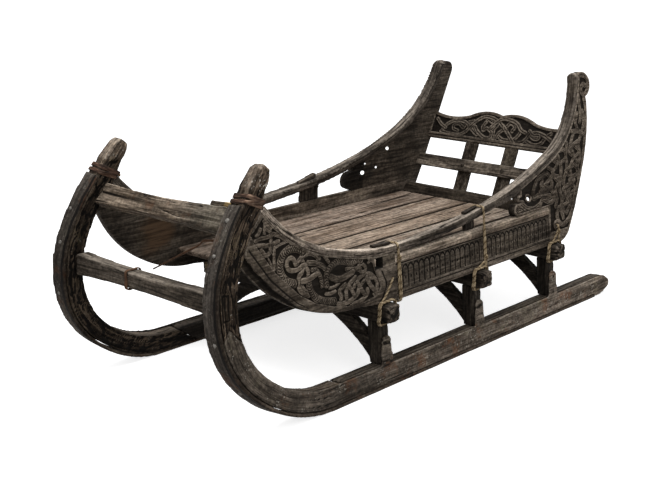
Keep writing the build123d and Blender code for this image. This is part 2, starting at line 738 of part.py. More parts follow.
def slot_loop(x, s):
    loop = block(x - CORD_W / 2, x + CORD_W / 2, -SIDE_T - CORD, CORD, BOARD_LOW - CORD, s + CORD)
    return leaned(loop - block(x - FAR, x + FAR, -SIDE_T - FIT, FIT, BOARD_LOW - FIT, s))


tie_y = HALF_TRACK + FIT - (BEAM_TOP - 12.0) * sin(radians(LEAN))
LASH_X = (LASH_A[0], LASH_A[1], LASH_HOLE_X)
loops = {
    "left": (rail_loop("left", LASH_A[0]), rail_loop("left", LASH_A[1]), slot_loop(LASH_HOLE_X, LASH_HOLE_S)),
    "right": (rail_loop("right", LASH_A[0]), slot_loop(LASH_A[1], LASH_LOW_S), slot_loop(LASH_HOLE_X, LASH_HOLE_S)),
}
walls = {
    "left": (front_panel, board, rear_left),
    "right": (other_side(front_right), other_side(board_right), other_side(rear_right)),
}
for hand in loops:
    for name, x, lash_x, loop in zip(BEAM_NAMES, BEAM_X, LASH_X, loops[hand]):
        ring = block(x - BEAM_W / 2 - CORD, x + BEAM_W / 2 + CORD, tie_y, tie_y + CORD, BEAM_LOW - CORD, BEAM_TOP + CORD)
        ring = ring - block(x - BEAM_W / 2 - FIT, x + BEAM_W / 2 + FIT, 0.0, FAR, BEAM_LOW - FIT, BEAM_TOP + FIT)
        reach = block(lash_x - CORD_W / 2, x, tie_y, tie_y + CORD, BEAM_TOP + FIT, BEAM_TOP + CORD)
        lashing = loop + ring + reach
        for wall in walls[hand]:
            lashing = lashing - wall
        made["lashing_" + name + "_" + hand] = one(lashing)

# Wedges on the rails beside the lashings
wedges = [
    ("front_left", "left", LASH_A[0] + 10.0, LASH_A[0] + 100.0),
    ("middle_left", "left", LASH_A[1] + 10.0, LASH_A[1] + 86.0),
    ("middle_right", "right", WEDGE_X_RIGHT[0], WEDGE_X_RIGHT[1]),
]
for name, hand, x0, x1 in wedges:
    wedge = block(x0, x1, -34.0, -16.0, 440.0, 580.0)
    wedge = (wedge & over_rail(hand, RAIL_H + FIT)) - over_rail(hand, RAIL_H + WEDGE_H)
    made["wedge_" + name] = one(leaned(wedge))

# Right-hand side
PAIRS = [
    "stem", "stem_band", "runner", "runner_plate", "runner_shoe",
    "post_front", "post_middle", "post_rear", "knee_front", "knee_middle", "knee_rear",
]
for name in PAIRS:
    made[name + "_right"] = one(other_side(made[name + "_left"]))
FACING = [
    "top_rail", "rail_spacer", "lashing_front", "lashing_middle", "lashing_rear", "wedge_middle",
]
for name in FACING:
    made[name + "_right"] = one(other_side(made[name + "_right"]))
keep("front_panel_right", front_right)
keep("side_board_right", board_right)
keep("rear_panel_right", rear_right)

# Rails between the stems
keep("head_rail", head_rail)
keep("cross_rail", cross_rail)

# Withy round the cross rail
spec = CROSS_RAIL
mid_fat = stem_rail(squeeze=-WITHY_T, **spec)
mid_fit = stem_rail(squeeze=-WITHY_FIT, **spec)
keep("cross_rail_withy", (mid_fat - mid_fit) & block(-FAR, FAR, WITHY_Y - WITHY_W / 2, WITHY_Y + WITHY_W / 2, -FAR, FAR))

# Wedge at the left end of the head rail
t = radians(HEAD_RAIL["tilt"])
wedge_top = HEAD_RAIL["high"] / 2.0
head_plane = Plane(origin=(stem_rail_x(HEAD_RAIL), 0, HEAD_RAIL["z"]), x_dir=(0, 1, 0), z_dir=(cos(t), 0, sin(t)))
head_wedge = block(HEAD_WEDGE_OUT - HEAD_WEDGE_LONG, HEAD_WEDGE_OUT, wedge_top - 20.0, wedge_top + 6.0, -12.0, 8.0)
head_wedge = head_plane * head_wedge - stem_rail(squeeze=0.0, **HEAD_RAIL)
keep("head_rail_wedge", head_wedge)

# Loose twig hanging from the front panel
route = [(x, HALF_TRACK - inset, z) for x, inset, z in TWIG]
line = FilletPolyline(*route, radius=TWIG_BEND)
start = Plane(origin=route[0], z_dir=Vector(*route[1]) - Vector(*route[0]))
twig = sweep(start * Circle(TWIG_R), path=line)
keep("loose_twig", twig - front_panel)

os.makedirs("parts", exist_ok=True)
for name in sorted(made):
    made[name].label = name
    export_step(made[name], "parts/" + name + ".step")
    print(name, round(made[name].volume / 1000.0, 1))
print(len(made), "pieces")
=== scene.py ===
import bmesh
import bpy
import math
import numpy as np
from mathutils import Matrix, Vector


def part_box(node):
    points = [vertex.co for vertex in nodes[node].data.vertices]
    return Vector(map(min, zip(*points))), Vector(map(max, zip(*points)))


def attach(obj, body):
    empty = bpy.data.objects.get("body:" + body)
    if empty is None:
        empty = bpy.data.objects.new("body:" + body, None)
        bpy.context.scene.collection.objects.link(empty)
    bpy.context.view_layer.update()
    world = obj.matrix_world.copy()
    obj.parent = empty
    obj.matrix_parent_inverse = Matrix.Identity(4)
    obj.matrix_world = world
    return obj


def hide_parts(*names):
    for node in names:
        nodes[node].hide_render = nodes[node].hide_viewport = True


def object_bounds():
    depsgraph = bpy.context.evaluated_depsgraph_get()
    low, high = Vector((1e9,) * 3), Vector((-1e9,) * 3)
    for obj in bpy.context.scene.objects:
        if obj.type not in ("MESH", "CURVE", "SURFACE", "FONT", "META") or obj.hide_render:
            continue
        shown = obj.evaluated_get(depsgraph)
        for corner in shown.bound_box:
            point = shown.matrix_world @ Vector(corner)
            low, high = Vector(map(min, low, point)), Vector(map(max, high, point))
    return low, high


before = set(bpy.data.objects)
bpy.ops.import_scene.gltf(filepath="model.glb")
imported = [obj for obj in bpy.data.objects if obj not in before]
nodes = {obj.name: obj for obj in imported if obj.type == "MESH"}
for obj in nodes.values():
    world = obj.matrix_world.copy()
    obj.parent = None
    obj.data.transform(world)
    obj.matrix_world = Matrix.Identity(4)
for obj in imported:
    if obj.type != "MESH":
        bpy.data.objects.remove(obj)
cad_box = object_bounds()
scene = bpy.context.scene
scene.view_settings.view_transform = "Standard"

# Frames, in metres: each side is (x, v, s) with v outward and s up its leaning face
HALF = 0.438
LEAN = math.radians(5.2)
BACK_AT = (-0.760, 0.400)
BACK_TILT = math.radians(23.6)
# A trail has a start, a heading and legs: a line's length or an arc's radius, and its turn in degrees
SOLE = dict(start=(-0.985, 0.0), heading=0.0,
            legs=[(1.621, 0.0), (0.508, 45.0), (0.357, 45.0), (0.43, 20.0), (0.56, 20.0), (0.19, 0.0)])
RAILS = {
    1: dict(start=(-0.8923, 0.9172), heading=-87.7,
            legs=[(0.332, 64.2), (1.871, 13.4), (3.215, 10.1), (1.079, 18.7), (0.578, 34.0)]),
    -1: dict(start=(-0.9045, 0.9187), heading=-69.3,
             legs=[(0.478, 45.0), (1.908, 16.9), (5.798, 4.4), (0.742, 34.8), (0.552, 20.9)]),
}


def side_to_world(q, side):
    y = HALF + q[:, 1] * math.cos(LEAN) - q[:, 2] * math.sin(LEAN)
    z = q[:, 1] * math.sin(LEAN) + q[:, 2] * math.cos(LEAN)
    return np.stack([q[:, 0], side * y, z], 1)


def world_to_side(p, side):
    y = side * p[:, 1] - HALF
    v = y * math.cos(LEAN) + p[:, 2] * math.sin(LEAN)
    s = p[:, 2] * math.cos(LEAN) - y * math.sin(LEAN)
    return np.stack([p[:, 0], v, s], 1)


def back_to_world(q, side=1):
    """Backrest coordinates (across, forward of its face, up it)."""
    c, s = math.cos(BACK_TILT), math.sin(BACK_TILT)
    x = BACK_AT[0] + q[:, 1] * c - q[:, 2] * s
    z = BACK_AT[1] + q[:, 1] * s + q[:, 2] * c
    return np.stack([x, q[:, 0], z], 1)


def world_to_back(p, side=1):
    c, s = math.cos(BACK_TILT), math.sin(BACK_TILT)
    x, z = p[:, 0] - BACK_AT[0], p[:, 2] - BACK_AT[1]
    return np.stack([p[:, 1], x * c + z * s, z * c - x * s], 1)


def ways(angle):
    """The direction ahead at an angle, and the one to its left."""
    ahead = np.array([math.cos(angle), math.sin(angle)])
    return ahead, np.array([-ahead[1], ahead[0]])


def trail_legs(start, heading, legs):
    """Start, angle, size and turn of each leg of a smooth trail of lines and left-turning arcs."""
    at = np.array(start, float)
    angle = math.radians(heading)
    for size, degrees in legs:
        turn = math.radians(degrees)
        yield at, angle, size, turn
        ahead, left = ways(angle)
        if turn:
            angle += turn
            at = at + left * size - ways(angle)[1] * size
        else:
            at = at + ahead * size


def along_trail(x, s, **trail):
    """Distance of points along a trail, and to its left."""
    along, left = np.zeros_like(x), np.zeros_like(x)
    todo = np.ones(len(x), bool)
    done = 0.0
    for i, (at, angle, size, turn) in enumerate(trail_legs(**trail)):
        ahead, aside = ways(angle)
        a = (x - at[0]) * ahead[0] + (s - at[1]) * ahead[1]
        l = (x - at[0]) * aside[0] + (s - at[1]) * aside[1]
        reach = size
        if turn:
            reach = size * turn
            a, l = np.arctan2(a, size - l) * size, size - np.hypot(a, size - l)
        ok = todo & ((a <= reach) | (i == len(trail["legs"]) - 1))
        along[ok] = done + a[ok]
        left[ok] = l[ok]
        todo &= ~ok
        done += reach
    return along, left


# Smooth random fields
def noise(p, seed=0):
    """Smooth random values in -1..1 at points p."""
    i = np.floor(p).astype(np.int64)
    f = p - i
    f = f * f * (3.0 - 2.0 * f)
    total = np.zeros(len(p))
    for k in range(8):
        d = np.array([k & 1, (k >> 1) & 1, k >> 2])
        c = i + d
        n = c[:, 0] * 73856093 ^ c[:, 1] * 19349663 ^ c[:, 2] * 83492791 ^ (seed * 97 + 13) * 40503
        n = (n ^ (n >> 13)) * 1274126177
        n = ((n ^ (n >> 16)) >> 3) & 0xFFFF
        w = np.prod(np.where(d == 1, f, 1.0 - f), 1)
        total += w * (n / 32767.5 - 1.0)
    return total


def layers(p, count, seed=0):
    total = np.zeros(len(p))
    size = 0.5
    for i in range(count):
        total += size * noise(p * 2.0 ** i, seed + i)
        size *= 0.5
    return total


def step_up(a, b, x):
    t = np.clip((x - a) / (b - a), 0.0, 1.0)
    return t * t * (3.0 - 2.0 * t)


# Mesh helpers
def vectors(mesh, name):
    """A vector of each vertex, as rows."""
    values = np.zeros(len(mesh.vertices) * 3, np.float32)
    mesh.vertices.foreach_get(name, values)
    return values.reshape(-1, 3).astype(float)


def coords(mesh):
    return vectors(mesh, "co")


def edge_list(mesh):
    e = np.zeros(len(mesh.edges) * 2, np.int32)
    mesh.edges.foreach_get("vertices", e)
    return e.reshape(-1, 2)


def shade_smooth(mesh):
    mesh.polygons.foreach_set("use_smooth", np.ones(len(mesh.polygons), bool))


def neighbour_mean(values, edges):
    """The mean of the values at each vertex's neighbours."""
    n = len(values)
    a, b = edges.T
    total = np.bincount(a, values[b], n) + np.bincount(b, values[a], n)
    return total / np.bincount(edges.ravel(), minlength=n).clip(1)


def ridge_value(mesh, blur):
    """How proud (positive) or hollow (negative) each vertex is against its neighbours."""
    co, no, edges = coords(mesh), vectors(mesh, "normal"), edge_list(mesh)
    n = len(co)
    reach = np.linalg.norm(co[edges[:, 0]] - co[edges[:, 1]], axis=1)
    total = np.bincount(edges[:, 0], reach, n) + np.bincount(edges[:, 1], reach, n)
    mean = total / np.bincount(edges.ravel(), minlength=n).clip(1)
    bend = np.zeros(n)
    for k in range(3):
        bend -= (neighbour_mean(co[:, k], edges) - co[:, k]) * no[:, k]
    value = np.clip(bend / mean.clip(1e-6), -0.5, 0.5)
    for i in range(blur):
        value = 0.5 * value + 0.5 * neighbour_mean(value, edges)
    return value


def set_fields(mesh, grain, wear_and_shade, tint=None):
    """Store the grain, rubbed edges with painted shade in hollows, and a tint (partly painted shade) on each
    vertex.
    """
    tint = np.ones((len(grain), 3)) if tint is None else tint
    for name, values in (("grain", grain), ("tint", tint)):
        a = mesh.attributes.new(name, "FLOAT_VECTOR", "POINT")
        a.data.foreach_set("vector", np.ascontiguousarray(values, np.float32).ravel())
    b = mesh.attributes.new("wear_and_shade", "FLOAT", "POINT")
    b.data.foreach_set("value", np.ascontiguousarray(wear_and_shade, np.float32))


def add_object(name, mesh, material, replaced=(), slot=None):
    ob = bpy.data.objects.new(name, mesh)
    scene.collection.objects.link(ob)
    mesh.materials.clear()
    mesh.materials.append(material)
    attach(ob, "root")
    if replaced:
        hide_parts(*replaced)


# Materials
class Graph:
    """A small wrapper that adds shader nodes with their inputs."""

    def __init__(self, name):
        self.material = bpy.data.materials.new(name)
        self.material.use_nodes = True
        self.tree = self.material.node_tree
        self.tree.nodes.clear()

    def add(self, kind, out=0, settings=None, **inputs):
        node = self.tree.nodes.new("ShaderNode" + kind)
        for key, value in (settings or {}).items():
            setattr(node, key, value)
        for key, value in inputs.items():
            numbered = key[0] == "i" and key[1:].isdigit()
            place = node.inputs[int(key[1:]) if numbered else key.replace("_", " ")]
            if isinstance(value, bpy.types.NodeSocket):
                self.tree.links.new(value, place)
            else:
                place.default_value = value
        return node.outputs[out]

    def attribute(self, name, out=1):
        return self.add("Attribute", out=out, settings=dict(attribute_name=name))

    def math(self, op, a, b=0.0):
        return self.add("Math", settings=dict(operation=op), i0=a, i1=b)

    def scaled(self, vector, scale):
        return self.add("VectorMath", settings=dict(operation="MULTIPLY"), i0=vector, i1=scale)

    def times(self, colour, value):
        return self.add("VectorMath", settings=dict(operation="SCALE"), i0=colour, Scale=value)

    def flat(self, colour):
        return self.add("CombineXYZ", X=colour[0], Y=colour[1], Z=colour[2])

    def noise(self, vector, scale, detail=4.0, rough=0.6):
        return self.add("TexNoise", Vector=vector, Scale=scale, Detail=detail, Roughness=rough)

    def band(self, value, low, high, to_low=0.0, to_high=1.0):
        node = self.tree.nodes.new("ShaderNodeMapRange")
        node.interpolation_type = "SMOOTHSTEP"
        self.tree.links.new(value, node.inputs[0])
        for i, v in enumerate((low, high, to_low, to_high)):
            node.inputs[i + 1].default_value = v
        return node.outputs[0]

    def mix(self, factor, a, b, blend="MIX"):
        node = self.tree.nodes.new("ShaderNodeMix")
        node.data_type = "RGBA"
        node.blend_type = blend
        for i, v in ((0, factor), (6, a), (7, b)):
            if isinstance(v, bpy.types.NodeSocket):
                self.tree.links.new(v, node.inputs[i])
            else:
                node.inputs[i].default_value = v if i == 0 else (*v, 1.0)
        return node.outputs[2]

    def ramp(self, value, stops):
        node = self.tree.nodes.new("ShaderNodeValToRGB")
        self.tree.links.new(value, node.inputs[0])
        el = node.color_ramp.elements
        while len(el) < len(stops):
            el.new(0.5)
        for e, (at, colour) in zip(el, stops):
            e.position = at
            e.color = (*colour, 1.0)
        return node.outputs[0]

    def output(self, shader):
        out = self.tree.nodes.new("ShaderNodeOutputMaterial")
        self.tree.links.new(shader, out.inputs[0])
        return self.material

    def finish(self, colour, roughness, bump_height, strength, distance, **extra):
        bump = self.add("Bump", Strength=strength, Distance=distance, Height=bump_height)
        return self.output(self.add("BsdfPrincipled", Base_Color=colour, Roughness=roughness,
                                    Normal=bump, **extra))


def wood(name, dark, mid, light, pale, top=0.3, moss=0.1, rust=0.0, specks=0.0, wear_and_shade=0.6, cracks=0.8,
         patch=None):
    """Weathered wood: grain along the piece, cracks, painted shade in hollows, rubbed edges, dusty tops."""
    g = Graph(name)
    grain = g.attribute("grain")
    # worn: rubbed edges where positive, painted shade in hollows where negative
    worn = g.attribute("wear_and_shade", out=2)
    tint = g.attribute("tint")
    place = g.add("TexCoord", out=3)
    normal = g.add("NewGeometry", out=1)
    up = g.add("SeparateXYZ", out=2, Vector=normal)
    warp = g.noise(g.scaled(grain, (2.5, 11.0, 11.0)), 1.0, 2.0)
    bent = g.add("VectorMath", settings=dict(operation="MULTIPLY_ADD"),
                 i0=warp, i1=(0.0, 0.022, 0.022), i2=grain)
    fibre = g.noise(g.scaled(bent, (14.0, 250.0, 250.0)), 1.0, 4.0, 0.6)
    line = g.noise(g.scaled(bent, (4.5, 90.0, 90.0)), 1.0, 5.0, 0.62)
    broad = g.noise(g.scaled(bent, (1.6, 17.0, 17.0)), 1.0, 3.0, 0.55)
    blotch = g.noise(place, 9.0, 5.0, 0.62)
    spot = g.noise(place, 85.0, 3.0, 0.62)
    tone = g.math("ADD", g.math("MULTIPLY", line, 0.62), g.math("MULTIPLY", broad, 0.43))
    colour = g.ramp(tone, [(0.43, dark), (0.525, mid), (0.63, light)])
    colour = g.times(colour, g.band(fibre, 0.36, 0.64, 0.6, 1.3))
    colour = g.times(colour, g.band(spot, 0.36, 0.64, 0.66, 1.3))
    colour = g.times(colour, g.band(blotch, 0.34, 0.62, 0.55, 1.08))
    dusty = g.math("MULTIPLY", g.band(up, 0.4, 0.95, 0.0, top), g.band(tone, 0.44, 0.6, 0.12, 1.0))
    colour = g.mix(dusty, colour, g.times(g.flat(pale), g.band(spot, 0.36, 0.64, 0.7, 1.2)))
    edge = g.math("MULTIPLY", g.band(worn, 0.06, 0.26, 0.0, wear_and_shade), g.band(spot, 0.4, 0.62, 0.1, 1.0))
    colour = g.mix(g.math("MULTIPLY", edge, g.band(blotch, 0.36, 0.6, 0.25, 1.0)), colour, pale)
    if moss:
        green = g.math("MULTIPLY", g.band(blotch, 0.52, 0.66, 0.0, moss), g.band(spot, 0.42, 0.58))
        colour = g.mix(green, colour, (mid[0] * 0.95, mid[1] * 1.15, mid[2] * 0.75))
    if rust:
        stain = g.noise(place, 11.0, 6.0, 0.72)
        colour = g.mix(g.band(stain, 0.53, 0.66, 0.0, rust), colour, (0.125, 0.058, 0.03))
    if specks:
        dots = g.noise(place, 130.0, 2.0, 0.5)
        area = g.noise(place, 14.0, 3.0, 0.6)
        white = g.math("MULTIPLY", g.band(dots, 0.6, 0.68, 0.0, specks), g.band(area, 0.47, 0.6))
        colour = g.mix(white, colour, (0.36, 0.33, 0.28))
    if patch:
        middle, reach, brown = patch
        away = g.add("VectorMath", out=1, settings=dict(operation="DISTANCE"), i0=place, i1=middle)
        ragged = g.math("ADD", away, g.math("MULTIPLY", blotch, 0.16))
        inner = g.band(g.add("SeparateXYZ", out=1, Vector=normal), 0.4, 0.7)
        tan = g.math("MULTIPLY", g.band(ragged, reach, reach + 0.06, 0.8, 0.0), inner)
        colour = g.mix(tan, colour, g.times(g.flat(brown), g.band(line, 0.36, 0.64, 0.5, 1.3)))
    slit = g.noise(g.scaled(bent, (3.2, 50.0, 50.0)), 1.0, 2.0, 0.5)
    gap = g.band(g.math("ABSOLUTE", g.math("SUBTRACT", slit, 0.5)), 0.006, 0.02, cracks, 0.0)
    gap = g.math("MULTIPLY", gap, g.band(broad, 0.44, 0.56))
    black = tuple(c * 0.11 for c in dark)
    colour = g.mix(gap, colour, black)
    # Painted shade: where the field is hollow the wood goes black
    colour = g.mix(g.band(worn, -0.2, -0.03, 0.95, 0.0), colour, black)
    colour = g.scaled(colour, tint)
    rough = g.band(line, 0.3, 0.7, 0.9, 0.72)
    height = g.math("ADD", g.math("MULTIPLY", fibre, 0.4), g.math("MULTIPLY", line, 0.9))
    height = g.math("ADD", height, g.math("MULTIPLY", spot, 0.45))
    height = g.math("SUBTRACT", height, g.math("MULTIPLY", gap, 0.5))
    return g.finish(colour, rough, height, 0.9, 0.004, Specular_IOR_Level=0.08)


CARVED = dict(dark=(0.058, 0.0445, 0.033), mid=(0.145, 0.116, 0.089), light=(0.24, 0.197, 0.155),
              pale=(0.3, 0.252, 0.204), top=0.35, moss=0.12, wear_and_shade=0.8, cracks=0.35)
STAIN = ((0.69, -0.367, 0.466), 0.13, (0.2, 0.12, 0.068))
# Each wood's dark, middle and light colour, then its pale edges and how much of each kind of ageing it has
WOODS = {
    "dark": wood("dark_wood", (0.024, 0.0182, 0.013), (0.067, 0.0525, 0.0395), (0.128, 0.104, 0.081),
                 pale=(0.2, 0.17, 0.138), top=0.45, moss=0.3),
    "shade": wood("shaded_wood", (0.012, 0.0092, 0.007), (0.036, 0.0287, 0.0222), (0.078, 0.0636, 0.0505),
                  pale=(0.13, 0.11, 0.09), top=0.3, moss=0.15, wear_and_shade=0.45),
    "stem": wood("stem_wood", (0.016, 0.011, 0.0073), (0.078, 0.0557, 0.039), (0.205, 0.154, 0.11),
                 pale=(0.24, 0.2, 0.16), top=0.6, moss=0.3, specks=0.5),
    "strip": wood("strip_wood", (0.047, 0.039, 0.0325), (0.088, 0.0745, 0.063), (0.135, 0.116, 0.099),
                  pale=(0.22, 0.193, 0.165), top=0.4, moss=0.15, rust=0.45, specks=0.4, cracks=0.4),
    "plate": wood("plate_wood", (0.045, 0.0355, 0.027), (0.115, 0.094, 0.0745), (0.195, 0.161, 0.13),
                  pale=(0.26, 0.222, 0.183), top=0.4, moss=0.25, rust=0.6, specks=0.9, cracks=0.6),
    "carved": wood("carved_wood", **CARVED),
    "far": wood("carved_wood_stained", **CARVED, patch=STAIN),
    "worn": wood("worn_wood", (0.042, 0.0335, 0.026), (0.128, 0.104, 0.0815), (0.24, 0.199, 0.16),
                 pale=(0.37, 0.318, 0.262), top=0.7, moss=0.15),
    "head": wood("head_wood", (0.05, 0.037, 0.0262), (0.17, 0.129, 0.0935), (0.32, 0.25, 0.189),
                 pale=(0.5, 0.407, 0.313), top=0.8, moss=0.1, rust=0.4, cracks=1.0),
    "rail": wood("rail_wood", (0.048, 0.0378, 0.0292), (0.125, 0.1023, 0.082), (0.225, 0.187, 0.152),
                 pale=(0.5, 0.426, 0.352), top=0.95, moss=0.1),
    "floor": wood("floor_wood", (0.13, 0.095, 0.068), (0.3, 0.228, 0.171), (0.47, 0.378, 0.3),
                  pale=(0.48, 0.4, 0.323), top=0.4, moss=0.0, rust=0.25, wear_and_shade=0.3, cracks=0.7),
}


# Weathered copies of plain pieces: denser, rounded at the edges and furrowed along the grain
ROUNDING = 2


def dense_copy(node, voxel):
    ob = bpy.data.objects.new("work", nodes[node].data.copy())
    scene.collection.objects.link(ob)
    weld = ob.modifiers.new("weld", "WELD")
    weld.merge_threshold = 0.00002
    remesh = ob.modifiers.new("remesh", "REMESH")
    remesh.mode = "VOXEL"
    remesh.voxel_size = voxel
    remesh.use_smooth_shade = True
    soften = ob.modifiers.new("soften", "SMOOTH")
    soften.factor = 0.5
    soften.iterations = ROUNDING
    mesh = bpy.data.meshes.new_from_object(ob.evaluated_get(bpy.context.evaluated_depsgraph_get()))
    mesh.name = node + "_aged"
    bpy.data.objects.remove(ob)
    return mesh


def grain_of(co, way, side):
    """Coordinates with the first one along the wood's grain."""
    if way == "sole" or way == "rail":
        q = world_to_side(co, side)
        along, left = along_trail(q[:, 0], q[:, 2], **(SOLE if way == "sole" else RAILS[side]))
        return np.stack([along, left, q[:, 1]], 1)
    order = {"x": (0, 1, 2), "y": (1, 0, 2), "z": (2, 0, 1)}[way]
    return co[:, order]


def to_segment(p, a, b):
    """How far along a segment flat points are, from 0 to 1, and their distance from it."""
    e = b - a
    t = np.clip(((p - a) @ e) / max(e @ e, 1e-14), 0.0, 1.0)
    return t, np.linalg.norm(p - a - t[:, None] * e, axis=1)


def near_line(p, lines):
    """Distance from flat points to the nearest of some straight strokes."""
    best = np.full(len(p), 1.0)
    for a, b in lines:
        best = np.minimum(best, to_segment(p, np.array(a), np.array(b))[1])
    return best


def ring_edges(points, scale=0.001):
    """The sides of a closed outline."""
    p = np.array(points, float) * scale
    return np.stack([p, np.roll(p, -1, 0)], 1)


# A small frame cut in the left stem, along the stem and behind its front, and the plain wood round it
FRAME = [(2.298, 0.025), (2.298, 0.047), (2.378, 0.045), (2.378, 0.022)]
FRAME_CLEAR = ((2.29, 0.018), (2.386, 0.052))
# A dark seam on the right stem's inner face
SEAM = [((0.937, 0.212), (0.936, 0.122))]
# Tints of the five floor planks
PLANK_TINT = [(0.93, 0.9, 0.9), (1.0, 0.97, 0.95), (1.04, 1.0, 0.96), (1.02, 1.03, 1.04), (0.92, 0.93, 0.93)]


def touches(node, co, no, raw, side, seed):
    """What is special to a piece: extra moves, dark lines and tints, several of them painted shade."""
    n = len(co)
    move, dark, tint = np.zeros(n), np.zeros(n), np.ones(n)
    q = world_to_side(co, side)
    out = side * no[:, 1] * math.cos(LEAN) + no[:, 2] * math.sin(LEAN)
    if node.startswith("stem_"):
        flat = step_up(0.45, 0.8, np.abs(out))
        net = noise(raw * (20.0, 105.0, 60.0), seed + 40)
        net = net + 0.45 * noise(raw * (45.0, 190.0, 60.0), seed + 41)
        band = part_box("stem_band_left")[1][2]
        head = step_up(band + 0.004, band + 0.02, co[:, 2])
        behind = step_up(0.015, 0.022, raw[:, 1])
        groove = np.exp(-(net / 0.24) ** 2) * flat * behind * (1.0 - 0.7 * head)
        if side > 0:
            on = raw[:, :2]
            rim = near_line(on, ring_edges(FRAME, 1.0))
            clear = ((on > FRAME_CLEAR[0]) & (on < FRAME_CLEAR[1])).all(1) & (out > 0)
            groove = np.where(clear, np.clip(1.4 - rim / 0.0028, 0.0, 1.0), groove)
        move -= 0.0042 * groove
        # Painted shade in the furrows and in the cut of the frame
        dark += 0.47 * groove
        tint += 0.16 * flat
        # Painted shade: the stem's inner face is darker
        inner = step_up(-0.04, -0.06, q[:, 1])
        tint -= 0.5 * inner
        speck = noise(co * 190.0, seed + 60)
        move += 0.004 * head
        tint += head * (1.25 + 1.1 * speck)
        if side < 0:
            seam = near_line(q[:, (0, 2)], SEAM)
            dark += 0.6 * inner * step_up(0.0045, 0.002, seam)
        return move, dark, tint[:, None] * (1.0 + head[:, None] * np.array([-0.02, 0.01, 0.05]))
    elif node.startswith("runner_shoe"):
        margin = -q[:, 1] if side > 0 else q[:, 1] + 0.067
        front = step_up(0.3, 0.5, co[:, 0] - 0.55)
        # Painted shadow: a dark line along the strip's edge, where it meets the stem
        dark += 0.9 * np.exp(-((margin - 0.0125) / 0.0032) ** 2) * front
        tint -= 0.52 * step_up(0.0125, 0.0095, margin) * front
        rusty = np.where(margin[:, None] < 0.011, (1.04, 0.94, 0.85), (1.0, 1.0, 1.0))
        return move, dark, tint[:, None] * rusty
    elif node.startswith("runner_plate"):
        dark += 0.4 * step_up(-0.006, -0.009, q[:, 1])
        tint += 0.55 * step_up(0.5, 0.1, co[:, 0]) + 1.2 * step_up(-0.5, -0.95, co[:, 0])
    elif node.startswith("runner_"):
        # Painted shade: the runner's inner side is darker
        tint -= 0.72 * step_up(-0.045, -0.06, q[:, 1])
    elif node.startswith("floor_plank"):
        lo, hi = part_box(node)
        edge = np.minimum(co[:, 1] - lo[1], hi[1] - co[:, 1])
        top = step_up(0.3, 0.6, np.abs(no[:, 2]))
        move -= 0.003 * step_up(0.006, 0.001, edge) * top
        dark += 0.5 * step_up(0.0068, 0.0035, edge)
        # Painted shadow: the plank fronts under the head rail are darker
        deep = 1.0 - 0.5 * step_up(hi[0] - 0.14, hi[0] - 0.09, co[:, 0])
        return move, dark, np.array(PLANK_TINT[int(node[-1]) - 1]) * deep[:, None]
    elif node.startswith("beam_"):
        end = step_up(0.435, 0.45, np.abs(co[:, 1]))
        split = noise(np.stack([co[:, 0] * 55.0, co[:, 1] * 8.0, co[:, 2] * 55.0], 1), seed + 50)
        move -= 0.003 * np.exp(-(split / 0.14) ** 2) * end
        dark += 0.3 * np.exp(-(split / 0.14) ** 2) * end
        # Paler end grain; painted shade on the beam's middle, under the floor
        tint += 1.6 * end - 0.25 * step_up(0.40, 0.36, np.abs(co[:, 1]))
    elif node.startswith("post_"):
        # Painted shade: the post faces turned away from the outside are darker
        tint -= 0.35 * step_up(0.2, -0.2, out)
    elif node == "top_rail_right":
        tint *= 0.66
        waist = step_up(-0.3, -0.42, co[:, 0]) * step_up(-0.72, -0.6, co[:, 0])
        move += 0.0075 * (1.0 - 0.5 * waist) * step_up(0.35, 0.7, np.maximum(no[:, 0], no[:, 2]))
    elif node == "top_rail_left":
        tint += 1.5 * step_up(0.15, 0.4, co[:, 0]) + 0.5 * step_up(-0.75, -0.9, co[:, 0]) - 0.2
    elif node == "head_rail_wedge":
        end = step_up(0.262, 0.272, co[:, 1])
        return move, dark, np.stack([1.5 + 5.0 * end, 1.5 + 4.2 * end, 1.5 + 2.0 * end], 1)
    elif node == "wedge_middle_right":
        tint += 1.2 * step_up(0.3, 0.7, no[:, 2])
    elif node == "head_rail":
        near = step_up(0.02, 0.2, co[:, 1])[:, None]
        return move, dark, 1.0 + near * np.array([-0.36, -0.3, -0.27]) + 0.12 * (1.0 - near)
    return move, dark, np.repeat(tint[:, None], 3, 1)


def reshape(node, co, no, raw):
    """Small changes of form against the plain solids: rounded horn ends, stouter rails and wedges."""
    x, y, z = co.T
    lo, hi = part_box(node)
    if node.startswith("top_rail"):
        if node.endswith("left"):
            z += 0.008 * step_up(0.86, 0.92, z)
            deep = step_up(-0.27, -0.38, x) * step_up(-0.54, -0.44, x)
            deep = 0.015 * deep + 0.005 * step_up(0.32, 0.24, x) * step_up(-0.6, -0.5, x) * (1.0 - deep)
            z -= deep * step_up(-0.2, -0.6, no[:, 2])
        end = y[z > hi[2] - 0.02]
        t = (y - 0.5 * (end.min() + end.max())) / (0.5 * (end.max() - end.min()))
        np.minimum(z, cad_box[1][2] - 0.0008 - 0.02 * np.minimum(t * t, 1.5), out=z)
    elif node.startswith("runner_shoe"):
        top = raw[:, 0].max()
        ahead = no[(raw[:, 0] > top - 0.1) & (raw[:, 1] < 0.003)].mean(0)
        thin = 0.0095 * step_up(top - 0.3, top - 0.08, raw[:, 0])
        thin *= np.clip(1.0 - raw[:, 1] / 0.0145, 0.0, 1.0)
        co -= ahead * thin[:, None]
    elif node == "head_rail":
        z += 0.010 * step_up(-0.12, 0.3, y) * step_up(0.1, 0.6, no[:, 2])
    elif node == "head_rail_wedge":
        z += 0.010 * step_up(lo[2], lo[2] + 0.012, z) + 0.007 * step_up(lo[1], hi[1], y)
        y -= 0.052 * (hi[1] - y) / (hi[1] - lo[1])
    elif node == "wedge_middle_right":
        z += 0.017 * step_up(lo[2], hi[2], z)
    np.maximum(z, 0.0, out=z)


